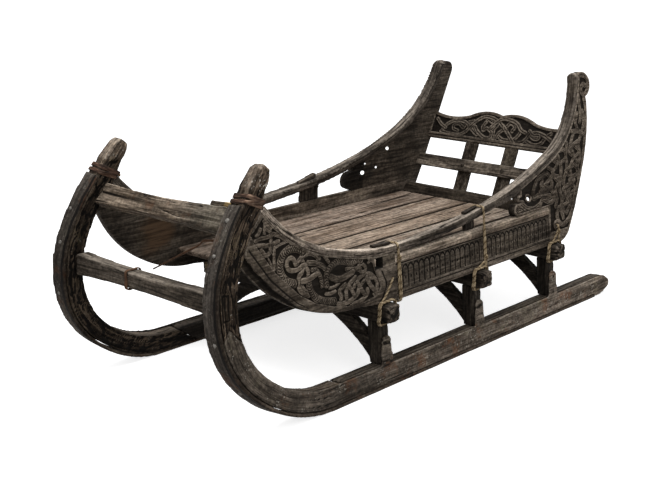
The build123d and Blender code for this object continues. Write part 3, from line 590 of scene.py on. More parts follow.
def aged(seed, node, way, wood_name, voxel, furrow, slot, crack):
    """A weathered copy that takes a plain solid's place."""
    side = -1 if node.endswith("right") else 1
    mesh = dense_copy(node, voxel)
    co, no = coords(mesh), vectors(mesh, "normal")
    raw = grain_of(co, way, side)
    grain = raw + (seed * 3.7, seed * 0.31, seed * 0.17)
    fine = noise(grain * (16.0, 190.0, 190.0), seed)
    rough = noise(grain * (6.0, 60.0, 60.0), seed + 5)
    lumps = layers(co * 16.0, 2, seed + 9)
    sink = np.abs(fine) ** 0.6 * 0.6 + np.abs(rough) * 0.4
    move = -furrow * (1.0 - sink) + 0.0009 * lumps
    extra, dark, tint = touches(node, co, no, raw, side, seed)
    move += extra
    if crack:
        slit = noise(grain * (2.2, 46.0, 46.0), seed + 21)
        where = noise(grain * (3.0, 8.0, 8.0), seed + 33)
        split = np.exp(-(slit / 0.06) ** 2) * step_up(0.05, 0.3, where)
        move -= crack * split
        dark += 0.25 * split
    base = ridge_value(mesh, 2)
    co2 = co + no * move[:, None]
    reshape(node, co2, no, raw)
    mesh.vertices.foreach_set("co", co2.astype(np.float32).ravel())
    mesh.update()
    detail = ridge_value(mesh, 0)
    # Hollow places go dark as painted shade, proud places pale as rubbed edges, and the lines set in touches
    # go dark
    set_fields(mesh, grain, 0.6 * base + 0.5 * detail - dark, tint)
    shade_smooth(mesh)
    add_object("aged_" + node, mesh, WOODS[wood_name], [node], slot)


# node, grain, wood, voxel, furrow depth, material slot, crack depth
PLAIN = [
    ("stem_left", "sole", "stem", 0.0033, 0.0028, "dark_wood", 0.003),
    ("stem_right", "sole", "stem", 0.0052, 0.0028, "dark_wood", 0.003),
    ("runner_left", "x", "dark", 0.008, 0.001, "dark_wood", 0.0),
    ("runner_right", "x", "dark", 0.008, 0.001, "dark_wood", 0.0),
    ("runner_plate_left", "sole", "plate", 0.0048, 0.0014, "dark_wood", 0.002),
    ("runner_plate_right", "sole", "plate", 0.0066, 0.0014, "dark_wood", 0.0),
    ("runner_shoe_left", "sole", "strip", 0.005, 0.0007, "dark_wood", 0.0),
    ("runner_shoe_right", "sole", "strip", 0.0066, 0.0007, "dark_wood", 0.0),
    ("top_rail_left", "rail", "rail", 0.0042, 0.0012, "worn_wood", 0.002),
    ("top_rail_right", "rail", "rail", 0.0054, 0.0012, "worn_wood", 0.0),
    ("head_rail", "y", "head", 0.004, 0.0026, "worn_wood", 0.005),
    ("cross_rail", "y", "worn", 0.0042, 0.002, "worn_wood", 0.004),
    ("beam_front", "y", "shade", 0.007, 0.0014, "dark_wood", 0.003),
    ("beam_middle", "y", "shade", 0.007, 0.0014, "dark_wood", 0.003),
    ("beam_rear", "y", "shade", 0.007, 0.0014, "dark_wood", 0.003),
    ("backrest_rail", "y", "worn", 0.0042, 0.0012, "worn_wood", 0.002),
    ("backrest_sill", "y", "dark", 0.0064, 0.001, "worn_wood", 0.0),
    ("backrest_slat_left", "z", "dark", 0.0045, 0.001, "worn_wood", 0.0),
    ("backrest_slat_right", "z", "dark", 0.0045, 0.001, "worn_wood", 0.0),
    ("wedge_front_left", "x", "shade", 0.0022, 0.0006, "worn_wood", 0.0),
    ("wedge_middle_left", "x", "shade", 0.0022, 0.0006, "worn_wood", 0.0),
    ("wedge_middle_right", "x", "shade", 0.003, 0.0006, "worn_wood", 0.0),
    ("head_rail_wedge", "y", "dark", 0.0022, 0.0008, "worn_wood", 0.0),
    ("rail_spacer_left", "z", "shade", 0.004, 0.0006, "dark_wood", 0.0),
    ("rail_spacer_right", "z", "shade", 0.004, 0.0006, "dark_wood", 0.0),
]
for place in ("front", "middle", "rear"):
    for hand in ("left", "right"):
        PLAIN.append(("post_%s_%s" % (place, hand), "z", "shade", 0.0042, 0.0014, "dark_wood", 0.003))
        PLAIN.append(("knee_%s_%s" % (place, hand), "y", "shade", 0.005, 0.001, "dark_wood", 0.0))
for i in range(5):
    PLAIN.append(("floor_plank_%d" % (i + 1), "x", "floor", 0.0068, 0.001, "floor_wood", 0.002))
for i, row in enumerate(PLAIN):
    aged(i, *row)


# Carving: ribbons that pass over and under each other, cut out of a thick face
def smooth_line(points, per=7):
    """Rounded run of points through the given ones."""
    p = np.array(points, float)
    p = np.vstack([2 * p[0] - p[1], p, 2 * p[-1] - p[-2]])
    t = np.linspace(0.0, 1.0, per, endpoint=False)[:, None]
    out = []
    for a, b, c, d in zip(p, p[1:], p[2:], p[3:]):
        square = 2 * a - 5 * b + 4 * c - d
        cube = 3 * b - a - 3 * c + d
        out.append(0.5 * (2 * b + (c - a) * t + square * t ** 2 + cube * t ** 3))
    return np.vstack(out + [p[-2:-1]])


def run_length(points):
    """Distance along a run of points, at each of them."""
    return np.concatenate([[0.0], np.cumsum(np.linalg.norm(np.diff(points, axis=0), axis=1))])


def crossings(a, b):
    """Places, in points along a and along b, where two lines cross."""
    p, r = a[:-1, None], (a[1:] - a[:-1])[:, None]
    q, s = b[None, :-1], (b[1:] - b[:-1])[None]
    det = r[..., 0] * s[..., 1] - r[..., 1] * s[..., 0]
    det = np.where(np.abs(det) < 1e-15, 1e-15, det)
    d = q - p
    t = (d[..., 0] * s[..., 1] - d[..., 1] * s[..., 0]) / det
    u = (d[..., 0] * r[..., 1] - d[..., 1] * r[..., 0]) / det
    i, j = np.nonzero((t >= 0) & (t < 1) & (u >= 0) & (u < 1))
    return [(i[k] + t[i[k], j[k]], j[k] + u[i[k], j[k]]) for k in range(len(i))]


def weave(lines):
    """Height changes along each line so that it goes over and under by turns."""
    met = [[] for _ in lines]
    n = 0
    for i in range(len(lines)):
        for j in range(i + 1, len(lines)):
            for t, u in crossings(lines[i], lines[j]):
                met[i].append((t, n))
                met[j].append((u, n))
                n += 1
    sign = {}
    lifts = []
    for i, line in enumerate(lines):
        last = 1
        marks = []
        for t, k in sorted(met[i]):
            way = -sign[k] if k in sign else -last
            if k not in sign:
                sign[k] = way
            marks.append((t, way))
            last = way
        marks = marks or [(0.0, 0.0)]
        lifts.append(np.interp(np.arange(len(line), dtype=float), *zip(*marks)))
    return lifts


def edge_cut(kind, r, where):
    """Depth of the lines cut along a ribbon, at a share r of its half width."""
    if kind == "double":
        return 0.0036 * np.exp(-(r / 0.2) ** 2)
    if kind == "line":
        return 0.0021 * np.exp(-((r - 0.5) / 0.15) ** 2)
    if kind == "ridge":
        return 0.0023 * (np.exp(-(r / 0.14) ** 2) + np.exp(-((r - 0.56) / 0.14) ** 2))
    if kind == "bead":
        beads = 0.5 + 0.5 * np.cos((where / 0.0085 + 0.9 * r) * 2.0 * math.pi)
        return 0.0024 * np.exp(-((r - 0.7) / 0.1) ** 2) + 0.0026 * step_up(0.72, 0.6, r) * beads
    return 0.0


def ribbons(points, table, scale=0.001, thick=0.0092, wide=0.6):
    """Height of the woven ribbons at points, zero between them, and painted shade for the ground there, full
    in narrow gaps.
    """
    lines = [smooth_line(np.array(row[2], float) * scale) for row in table]
    best = np.zeros(len(points))
    over = np.full(len(points), -9.0)
    gap = np.full(len(points), 0.02)
    for (width, kind, _), line, lift in zip(table, lines, weave(lines)):
        w = width * wide * scale
        lo, hi = line.min(0) - w - 0.02, line.max(0) + w + 0.02
        near = np.nonzero(((points > lo) & (points < hi)).all(1))[0]
        p = points[near]
        dist = np.full(len(p), 1.0)
        where = np.zeros(len(p))
        rise = np.zeros(len(p))
        run = run_length(line)
        for k in range(len(line) - 1):
            t, d = to_segment(p, line[k], line[k + 1])
            closer = d < dist
            dist[closer] = d[closer]
            where[closer] = (run[k] + t * (run[k + 1] - run[k]))[closer]
            rise[closer] = (lift[k] + t * (lift[k + 1] - lift[k]))[closer]
        r = dist / w
        h = thick * (0.83 + 0.14 * rise) * np.clip((1.0 - r) / 0.26, 0.0, 1.0) ** 0.6
        h = np.where(r < 1.0, h - 0.0008 * r * r - edge_cut(kind, r, where), 0.0)
        gap[near] = np.minimum(gap[near], np.maximum(dist - w, 0.0))
        on_top = (r < 1.0) & (rise > over[near])
        best[near[on_top]] = h[on_top]
        over[near[on_top]] = rise[on_top]
    # Painted shade: full on the ground in narrow gaps, lighter where the gaps widen
    return best, 1.0 - 0.55 * step_up(0.0035, 0.009, gap)


def face_outline(node, to_local, side, level):
    """Edges round a node's flat face at one depth, as pairs of points."""
    mesh = nodes[node].data
    mesh.calc_loop_triangles()
    q = to_local(coords(mesh), side)
    tri = np.array([t.vertices[:] for t in mesh.loop_triangles])
    flat = tri[(np.abs(q[tri, 1] - level) < 0.0003).all(1)]
    key = np.round(q[:, (0, 2)], 5)
    same, index = np.unique(key, axis=0, return_inverse=True)
    index = index.reshape(-1)
    e = np.vstack([index[flat[:, (0, 1)]], index[flat[:, (1, 2)]], index[flat[:, (2, 0)]]])
    e = np.sort(e, 1)
    pairs, count = np.unique(e, axis=0, return_counts=True)
    return same[pairs[count == 1]]


def inside_depth(points, edges):
    """Distance to the outline, positive inside it."""
    odd = np.zeros(len(points), bool)
    for a, b in edges:
        if a[1] != b[1]:
            span = (points[:, 1] >= min(a[1], b[1])) & (points[:, 1] < max(a[1], b[1]))
            x = a[0] + (points[:, 1] - a[1]) * (b[0] - a[0]) / (b[1] - a[1])
            odd ^= span & (points[:, 0] < x)
    return np.where(odd, 1.0, -1.0) * near_line(points, edges)


def cut_grid(edges, cell):
    """A flat grid cut to an outline: its points, their depth inside the outline, and its faces."""
    lo, hi = edges.min((0, 1)) - 1.3 * cell, edges.max((0, 1)) + 1.3 * cell
    nx, ns = (np.ceil((hi - lo) / cell)).astype(int) + 1
    gx, gs = np.meshgrid(np.arange(nx), np.arange(ns), indexing="ij")
    points = np.stack([lo[0] + gx.ravel() * cell, lo[1] + gs.ravel() * cell], 1)
    depth = inside_depth(points, edges)
    depth[np.abs(depth) < 1e-6] = 1e-6
    number = np.arange(nx * ns).reshape(nx, ns)
    corners = np.stack([number[:-1, :-1], number[1:, :-1], number[1:, 1:], number[:-1, 1:]], -1)
    corners = corners.reshape(-1, 4)
    full = (depth[corners] > 0).sum(1)
    faces = [tuple(f) for f in corners[full == 4]]
    extra = []
    made = {}

    def cut(a, b):
        k = (min(a, b), max(a, b))
        if k not in made:
            t = depth[a] / (depth[a] - depth[b])
            made[k] = len(points) + len(extra)
            extra.append(points[a] + t * (points[b] - points[a]))
        return made[k]

    for quad in corners[(full > 0) & (full < 4)]:
        loop = []
        for a, b in zip(quad, np.roll(quad, -1)):
            if depth[a] > 0:
                loop.append(a)
            if (depth[a] > 0) != (depth[b] > 0):
                loop.append(cut(a, b))
        if len(loop) > 2:
            faces.append(tuple(loop))
    flat = np.vstack([points, np.array(extra)])
    deep = np.concatenate([depth, np.zeros(len(extra))])
    used = np.unique(np.concatenate([np.array(f) for f in faces]))
    remap = np.full(len(flat), -1)
    remap[used] = np.arange(len(used))
    return flat[used], deep[used], [remap[list(f)] for f in faces]


def close_back(bm, back, holes):
    """Walls from the edges of a carved face to a flat back, with slanting holes, and the back."""
    rim = [e for e in bm.edges if len(e.link_faces) == 1]
    grown = bmesh.ops.extrude_edge_only(bm, edges=rim)["geom"]
    for v in grown:
        if isinstance(v, bmesh.types.BMVert):
            v.co.y = back
            for x, s, r, dx, ds in holes:
                if math.hypot(v.co.x - x, v.co.z - s) < 1.8 * r:
                    v.co.x += dx
                    v.co.z += ds
                    break
    edges = [e for e in grown if isinstance(e, bmesh.types.BMEdge) and len(e.link_faces) == 1]
    bmesh.ops.triangle_fill(bm, edges=edges, use_beauty=True)


def carved(node, to_local, to_world, side, level, back, cell, shape, wood_name, tint=None, holes=()):
    """A plate with a carved face: a grid cut to the node's outline, its sides and a flat back."""
    flat, deep, faces = cut_grid(face_outline(node, to_local, side, level), cell)
    high, hollow_shade = shape(flat, deep, side)
    bm = bmesh.new()
    verts = [bm.verts.new(v) for v in np.stack([flat[:, 0], high, flat[:, 1]], 1)]
    front = len(verts)
    for f in faces:
        bm.faces.new([verts[k] for k in f])
    close_back(bm, back, holes)
    mesh = bpy.data.meshes.new(node + "_carved")
    bm.to_mesh(mesh)
    bm.free()
    q = coords(mesh)
    mesh.vertices.foreach_set("co", to_world(q, side).astype(np.float32).ravel())
    bm = bmesh.new()
    bm.from_mesh(mesh)
    bmesh.ops.recalc_face_normals(bm, faces=bm.faces)
    bm.to_mesh(mesh)
    bm.free()
    mesh.update()
    wear_and_shade = ridge_value(mesh, 0) * 0.9 + 0.5 * ridge_value(mesh, 3)
    wear_and_shade[q[:, 1] < back + 1e-6] = 0.0
    # Painted shade in the hollows that each shape marks
    wear_and_shade[:front] -= 0.42 * hollow_shade
    grain = q[:, (0, 2, 1)] + (0.0, side * 0.4, 0.0)
    shade = 1.0 - 0.55 * step_up(back + 0.008, back + 0.002, q[:, 1])
    if tint:
        shade *= tint(q)
    set_fields(mesh, grain, wear_and_shade, np.repeat(shade[:, None], 3, 1))
    shade_smooth(mesh)
    mesh.set_sharp_from_angle(angle=math.radians(62.0))
    add_object("carved_" + node, mesh, WOODS[wood_name], [node], "carved_wood")


def rounded(deep, r):
    """Fall of a face towards its edge, over a rounding of radius r."""
    t = np.clip(r - deep, 0.0, r)
    return -(r - np.sqrt(np.maximum(r * r - t * t, 0.0)))


def tooled(p, seed, amount=0.0007):
    """Chisel marks and rubbing on a flat."""
    q = np.stack([p[:, 0] * 12.0, p[:, 1] * 85.0, np.zeros(len(p))], 1)
    r = np.stack([p[:, 0] * 60.0, p[:, 1] * 60.0, np.zeros(len(p))], 1)
    return amount * (0.7 * noise(q, seed) + 0.5 * noise(r, seed + 3))


def relief(p, field, table, depth, slope, inset=0.0, **sizes):
    """Woven ribbons standing in a field recessed to a depth, and the painted shade of the narrow gaps between
    them.
    """
    cut, gap_shade = ribbons(p, table, **sizes)
    cut = np.where(field > inset, cut, 0.0)
    return np.minimum(-depth * step_up(0.0, slope, field) + cut, 0.0), gap_shade


# Centre lines of the carved ribbons, in millimetres: width, kind of cut, points
FRONT_RIBBONS = [
    (26.1, "bead", [(732, 540), (758, 553), (784, 556), (807, 548), (824, 534), (832, 514),
     (831, 492), (822, 473), (803, 457), (778, 446)]),
    (20.8, "bead", [(635, 410), (637, 428), (631, 446), (617, 460), (598, 470), (575, 474),
     (549, 469), (527, 460), (508, 457), (486, 460), (469, 456)]),
    (23.4, "bead", [(714, 436), (712, 419), (701, 397), (681, 377), (651, 363), (606, 352)]),
    (13.1, "plain", [(883, 659), (871, 645), (859, 634)]),
    (10.6, "plain", [(883, 651), (885, 634), (889, 616)]),
    (11.4, "plain", [(875, 631), (862, 623), (861, 608), (865, 590), (869, 568)]),
    (11.8, "plain", [(920, 619), (911, 626), (902, 637)]),
    (12.7, "plain", [(926, 607), (903, 610), (874, 610), (849, 614)]),
    (13.9, "plain", [(923, 594), (903, 590), (880, 584), (852, 585), (831, 589)]),
    (14.7, "plain", [(846, 612), (824, 604), (795, 583)]),
    (9.4, "plain", [(853, 570), (827, 577), (794, 581)]),
    (13.1, "plain", [(904, 575), (887, 556), (869, 562)]),
    (9.8, "plain", [(852, 574), (857, 542), (859, 508)]),
    (6.1, "plain", [(883, 551), (871, 528), (860, 504)]),
    (14.7, "plain", [(768, 505), (772, 518), (783, 528), (797, 525), (805, 514), (801, 499),
     (789, 490), (770, 487), (750, 489), (736, 496)]),
    (15.5, "line", [(762, 505), (746, 516), (725, 525), (702, 526), (680, 517), (663, 500)]),
    (14.7, "plain", [(734, 506), (722, 486), (714, 470), (718, 454), (725, 441)]),
    (16.3, "line", [(712, 498), (680, 490), (652, 476), (640, 465)]),
    (15.5, "plain", [(737, 490), (743, 474), (755, 466), (762, 445), (757, 423), (741, 407), (720, 397)]),
    (12.2, "plain", [(747, 434), (735, 415), (717, 405)]),
    (18, "plain", [(744, 447), (720, 446), (698, 451), (679, 457)]),
    (14.6, "bead", [(695, 472), (677, 468), (665, 451), (658, 433), (656, 413)]),
    (12.1, "plain", [(645, 512), (633, 498), (621, 482)]),
    (20.8, "plain", [(614, 432), (590, 420), (565, 417), (538, 421), (512, 427)]),
    (14.6, "line", [(539, 441), (519, 437), (491, 432)]),
    (12.1, "plain", [(485, 427), (481, 440), (464, 442), (450, 430), (455, 417), (473, 419), (474, 430)]),
    (10.4, "plain", [(433, 441), (412, 458)]),
    (14.6, "plain", [(509, 377), (498, 390), (477, 402), (452, 406), (426, 401),
     (406, 384), (396, 364), (398, 345), (413, 333)]),
    (12.8, "plain", [(477, 375), (460, 385), (438, 391), (414, 386)]),
    (15.6, "plain", [(448, 394), (429, 364), (403, 336)]),
    (14.6, "plain", [(495, 391), (478, 366), (461, 341)]),
    (13.9, "plain", [(534, 386), (520, 367), (511, 350)]),
    (14.6, "plain", [(548, 350), (549, 370), (541, 384), (523, 396), (500, 407)]),
    (16, "plain", [(590, 339), (567, 335), (539, 335), (512, 342), (492, 355), (488, 367)]),
    (16, "plain", [(527, 324), (495, 322), (468, 329), (449, 340), (446, 354)]),
    (14.6, "line", [(551, 393), (570, 386), (579, 377), (573, 363), (574, 349)]),
    (12.8, "plain", [(642, 384), (622, 381), (601, 383)]),
    (10.4, "plain", [(625, 398), (602, 398), (579, 405)]),
]
REAR_RIBBONS = [
    (30, "ridge", [(-587, 451), (-546, 442), (-498, 453), (-460, 476), (-426, 478),
     (-416, 461), (-434, 441), (-450, 450)]),
    (20, "line", [(-630, 569), (-581, 557), (-553, 525), (-547, 490), (-589, 494), (-657, 481), (-698, 462)]),
    (18, "line", [(-615, 550), (-605, 524), (-636, 507), (-678, 515), (-670, 551), (-648, 569)]),
    (18, "line", [(-594, 504), (-642, 531), (-684, 554), (-735, 544), (-746, 565)]),
    (18, "line", [(-587, 451), (-611, 474), (-665, 453), (-689, 469), (-677, 501), (-628, 526)]),
    (16, "line", [(-681, 579), (-698, 549), (-725, 523), (-704, 496), (-712, 460), (-701, 432)]),
    (18, "ridge", [(-711, 619), (-743, 595), (-745, 545), (-733, 497), (-749, 449), (-733, 416)]),
    (18, "line", [(-799, 667), (-787, 619), (-794, 573), (-767, 526), (-774, 475), (-748, 439), (-765, 401)]),
    (18, "line", [(-849, 701), (-827, 658), (-844, 611), (-817, 564), (-829, 512),
     (-798, 471), (-810, 428), (-784, 392)]),
    (18, "ridge", [(-912, 693), (-885, 656), (-897, 604), (-871, 556), (-878, 504), (-846, 458), (-834, 414),
     (-803, 374), (-758, 351), (-721, 368), (-710, 400), (-724, 423)]),
    (16, "line", [(-837, 662), (-889, 625), (-833, 592), (-880, 545), (-810, 520),
     (-847, 479), (-787, 448), (-814, 407)]),
    (16, "line", [(-891, 670), (-807, 641), (-872, 587), (-783, 559), (-849, 514),
     (-761, 492), (-816, 443), (-747, 419), (-755, 377)]),
    (18, "ridge", [(-839, 709), (-888, 706), (-936, 685)]),
    (16, "line", [(-882, 777), (-865, 744), (-879, 717)]),
    (16, "line", [(-921, 783), (-929, 741), (-917, 707)]),
    (16, "ridge", [(-895, 850), (-898, 810), (-906, 774), (-899, 740)]),
    (18, "ridge", [(-904, 929), (-952, 917), (-968, 889), (-956, 857), (-934, 847),
     (-913, 866), (-926, 887), (-946, 883)]),
    (14, "ridge", [(-933, 832), (-946, 790), (-946, 729), (-933, 670), (-914, 591),
     (-891, 523), (-866, 465), (-838, 403), (-806, 353)]),
    (15, "line", [(-646, 614), (-683, 618), (-719, 598), (-695, 577), (-654, 593)]),
    (15, "line", [(-741, 645), (-778, 645), (-781, 609), (-738, 601), (-730, 626)]),
]
CREST_RIBBONS = [
    (14, "double", [(-291, 255), (-267, 290), (-225, 309), (-175, 304), (-133, 275), (-107, 258)]),
    (14, "double", [(-291, 253), (-246, 247), (-194, 248), (-165, 266), (-147, 291), (-116, 323),
     (-85, 340), (-46, 338), (-12, 324), (15, 307)]),
    (13, "double", [(-209, 265), (-232, 272), (-231, 290), (-206, 294), (-184, 281), (-170, 303),
     (-137, 316)]),
    (14, "double", [(-75, 317), (-85, 296), (-78, 281), (-63, 291), (-35, 274),
     (-39, 252), (-68, 251), (-104, 271), (-124, 292)]),
    (14, "double", [(-79, 336), (-47, 322), (-17, 312), (-28, 287), (-21, 253)]),
    (14, "double", [(-44, 297), (-21, 323), (5, 340), (45, 338), (80, 326), (104, 302), (129, 293)]),
    (14, "double", [(-12, 250), (2, 279), (26, 301), (45, 324), (70, 314), (63, 293)]),
    (14, "double", [(2, 263), (32, 251), (75, 256), (98, 280), (102, 302)]),
    (14, "double", [(21, 304), (46, 280), (82, 245)]),
    (14, "double", [(86, 248), (120, 250), (139, 271), (150, 292), (182, 299), (218, 292), (255, 274)]),
    (14, "double", [(137, 260), (177, 247), (212, 257), (228, 286), (248, 303)]),
    (13, "double", [(147, 303), (169, 286), (194, 289), (194, 274), (174, 272), (158, 281)]),
    (13, "double", [(-327, 306), (-301, 285), (-273, 272)]),
]

# Outline of the front panel's recessed field, in millimetres
FRONT_FIELD = [(889, 672), (944, 626), (935, 601), (858, 497), (762, 407), (690, 363), (611, 335),
               (550, 322), (490, 316), (430, 320), (398, 327), (380, 353), (398, 392), (412, 436),
               (440, 455), (530, 474), (636, 501), (721, 534), (783, 571), (835, 618)]
# Outer edge of the front panel's border; past it a lower board carries on behind
BORDER = [(1010, 650), (982, 590), (970, 565), (950, 537), (934, 516), (911, 494), (885, 465),
          (858, 439), (828, 417), (787, 385), (761, 367), (700, 336), (640, 318)]
# The square opening: its middle and half sizes
OPENING = (0.386, 0.429)
OPENING_HALF = (0.0195, 0.0185)


def front_shape(p, deep, side):
    field = inside_depth(p, ring_edges(FRONT_FIELD))
    if side < 0:
        field = np.minimum(field, deep - 0.03)
    line = smooth_line(np.array(BORDER) * 0.001, 3)
    past = p[:, 1] - np.interp(p[:, 0], line[::-1, 0], line[::-1, 1])
    past = np.where((p[:, 0] > 0.64) & (field < 0.0), past, 1.0)
    h = rounded(np.minimum(deep, np.maximum(past * 0.75, 0.0)), 0.005) + tooled(p, 4, 0.0003)
    rim = np.exp(-((field + 0.027) / 0.004) ** 2) * step_up(0.006, 0.012, np.minimum(deep, past))
    h -= 0.0025 * rim
    h = np.where(past < 0.0, -0.018 + tooled(p, 4), h)
    inner, gap_shade = relief(p, field, FRONT_RIBBONS, 0.0095, 0.0025, 0.0012)
    inner = inner + tooled(p, 8, 0.0005)
    # Painted shade: the lower board behind the border, the rim's groove, and the ground between ribbons
    outside = np.where(past < 0.0, 0.35 + 0.6 * step_up(-0.012, 0.0, past), 0.5 * rim)
    hollow_shade = np.where(field > 0.0, gap_shade * step_up(-0.0032, -0.0068, inner), outside)
    return np.where(field > 0.0, rounded(deep, 0.004) + inner, h), hollow_shade


def front_tint(q):
    """A lighter field, a darker border, and painted shade: black walls in the square opening."""
    flat = q[:, (0, 2)]
    tint = 0.84 + 0.34 * step_up(-0.001, 0.001, inside_depth(flat, ring_edges(FRONT_FIELD)))
    return np.where((np.abs(flat - OPENING) < OPENING_HALF).all(1), 0.05, tint)


# The side board's frieze, from low to high, the slot in it, and the half round moulding above
FRIEZE = (0.316, 0.404)
FRIEZE_ENDS = (-0.646, 0.290)
SLOT_X = -0.204
MOULDING_MIDDLE = 0.4215
MOULDING_R = 0.019
MOULDING_FOOT = 0.4035
BEAD_S = 0.308
BOARD_FOOT = 0.286


def strokes(x0, x1):
    """A repeating border of uprights under round arches, each bay with a pellet, as pairs of points."""
    low, spring, rise = 322.0, 376.0, 20.0
    count = round((x1 - x0) / 29.5)
    step = (x1 - x0) / count
    out = []
    for k in range(count + 1):
        x = x0 + k * step
        out.append(((x, low), (x, spring)))
        if k < count:
            c = x + step / 2.0
            turn = [math.pi * i / 6.0 for i in range(7)]
            arch = [(c - 0.5 * step * math.cos(t), spring + rise * math.sin(t)) for t in turn]
            out += list(zip(arch, arch[1:]))
            out.append(((c, 350.0), (c, 353.0)))
    return [(np.array(a) * 0.001, np.array(b) * 0.001) for a, b in out]


def board_shape(p, deep, side):
    x, s = p[:, 0], p[:, 1]
    h = np.zeros(len(p))
    frieze = step_up(FRIEZE[0], FRIEZE[0] + 0.003, s) * step_up(FRIEZE[1], FRIEZE[1] - 0.004, s)
    frieze *= np.where(np.abs(x - SLOT_X) < 0.014, 0.0, 1.0)
    frieze *= step_up(FRIEZE_ENDS[1], FRIEZE_ENDS[1] - 0.004, x)
    frieze *= step_up(FRIEZE_ENDS[0], FRIEZE_ENDS[0] + 0.004, x)
    h -= 0.003 * frieze
    half_round = np.sqrt(np.maximum(MOULDING_R ** 2 - (s - MOULDING_MIDDLE) ** 2, 0.0)) - MOULDING_R
    h = np.where(s > MOULDING_FOOT, np.maximum(half_round, -0.0165), h)
    bead = np.exp(-((s - BEAD_S) / 0.0018) ** 2)
    line = near_line(p, strokes(-630.0, -228.0) + strokes(-180.0, 262.0))
    cut = np.clip(1.3 - line / 0.0034, 0.0, 1.0)
    # Painted shade in the cut strokes and the bead, and a painted shadow line at the moulding's foot
    hollow_shade = np.maximum(np.maximum(cut, 0.8 * bead), np.exp(-((s - MOULDING_FOOT) / 0.0016) ** 2))
    h -= 0.0052 * cut ** 0.8 + 0.0022 * bead
    return h + rounded(np.minimum(deep, s - BOARD_FOOT), 0.003) + tooled(p, 14), hollow_shade


def board_tint(q):
    return 0.7 + 1.9 * step_up(0.403, 0.408, q[:, 2]) + 0.2 * step_up(0.312, 0.306, q[:, 2])


# The right rear panel's longer scroll, and the plain ground round the lashing's hole and at the foot
SCROLL_RIGHT = (30, "ridge", [(-600, 450), (-520, 446), (-440, 462), (-376, 496), (-334, 490), (-332, 466),
                              (-354, 462)])
LASHING_HOLE = (-0.706, 0.358)
LASHING_HOLE_CLEAR = 0.02
REAR_FOOT = 0.332


def rear_shape(p, deep, side):
    away = np.hypot(p[:, 0] - LASHING_HOLE[0], p[:, 1] - LASHING_HOLE[1]) - LASHING_HOLE_CLEAR
    field = np.minimum(np.minimum(deep - 0.005, p[:, 1] - REAR_FOOT), away)
    table = REAR_RIBBONS if side > 0 else [SCROLL_RIGHT] + REAR_RIBBONS[1:]
    inner, gap_shade = relief(p, field, table, 0.009, 0.0035)
    edge = 0.0045 + (0.0115 * step_up(0.86, 0.9, p[:, 1]) if side < 0 else 0.0)
    # Painted shade on the ground between ribbons, in the second value returned
    return inner + rounded(deep, edge) + tooled(p, 24), gap_shade * step_up(-0.0035, -0.007, inner)


def rear_tint(q):
    # Painted shade on the panel's front end thickness
    snout_shade = step_up(-0.434, -0.424, q[:, 0]) * step_up(-0.003, -0.005, q[:, 1])
    return 1.3 + 0.3 * step_up(0.6, 0.9, q[:, 2]) - 1.05 * snout_shade


# Slanting holes: their places on the outer face, radius, and shift to the inner face
SLANT = (0.033, 0.012)
PIERCED = {
    1: [(-0.508, 0.496, 0.009, -SLANT[0], -SLANT[1])],
    -1: [(-0.448, 0.497, 0.009, *SLANT), (-0.461, 0.534, 0.004, *SLANT),
         (-0.535, 0.508, 0.005, *SLANT), (-0.601, 0.581, 0.008, *SLANT)],
}
# Crest, up and across the backrest: a cut line, the field's foot and half length, and its face and back
CREST_LINE = 0.234
CREST_FOOT = 0.245
CREST_HALF = 0.345
CREST_FACE = 0.003
CREST_BACK = -0.021


def crest_shape(p, deep, side):
    top = np.where(p[:, 1] > 0.29, deep, 1.0)
    field = np.minimum(np.minimum(top - 0.012, p[:, 1] - CREST_FOOT), CREST_HALF - np.abs(p[:, 0]))
    inner, gap_shade = relief(p, field, CREST_RIBBONS, 0.0075, 0.003, thick=0.0075, wide=0.72)
    rim = np.exp(-((p[:, 1] - CREST_LINE) / 0.002) ** 2)
    # Painted shade on the ground between ribbons and in the cut line
    hollow_shade = np.maximum(gap_shade * step_up(-0.003, -0.006, inner), 0.8 * rim)
    return CREST_FACE + inner - 0.0025 * rim + rounded(deep, 0.004) + tooled(p, 34), hollow_shade


def crest_tint(q):
    return 0.85


PANEL_BACK = -0.030
for hand, side, cell in (("left", 1, 0.0021), ("right", -1, 0.0033)):
    leaning = (world_to_side, side_to_world, side)
    near = side > 0
    carved("front_panel_" + hand, *leaning, PANEL_BACK, PANEL_BACK, cell, front_shape,
           "carved" if near else "far", front_tint if near else None)
    carved("side_board_" + hand, *leaning, PANEL_BACK, PANEL_BACK, cell * 1.1, board_shape,
           "carved", board_tint)
    carved("rear_panel_" + hand, *leaning, 0.0, PANEL_BACK, cell, rear_shape,
           "carved", rear_tint, PIERCED[side])
carved("backrest_crest", world_to_back, back_to_world, 1, CREST_FACE, CREST_BACK, 0.0022, crest_shape,
       "carved", crest_tint)


# Cords, straps and pegs
class Shell:
    """A joined mesh that grows ring by ring: its points, the grain at each, and its faces."""

    def __init__(self):
        self.verts = []
        self.grain = []
        self.faces = []

    def add(self, point, grain):
        self.verts.append(point)
        self.grain.append(grain)

    def walls(self, base, rings, sides, closed=False):
        """Faces between rings of points, the first of which is number base."""
        for i in range(rings if closed else rings - 1):
            low, high = base + i * sides, base + (i + 1) % rings * sides
            for k in range(sides):
                m = (k + 1) % sides
                self.faces.append((low + k, low + m, high + m, high + k))

    def cap(self, first, sides, flip=False):
        ring = tuple(range(first, first + sides))
        self.faces.append(ring[::-1] if flip else ring)

    def piece(self, name, material, replaced, slot, tint=None):
        mesh = bpy.data.meshes.new(name)
        mesh.from_pydata([tuple(v) for v in self.verts], [], self.faces)
        shade_smooth(mesh)
        mesh.update()
        # Hollows between strands and turns go dark: painted shade
        set_fields(mesh, np.array(self.grain), ridge_value(mesh, 1), tint)
        add_object(name, mesh, material, replaced, slot)


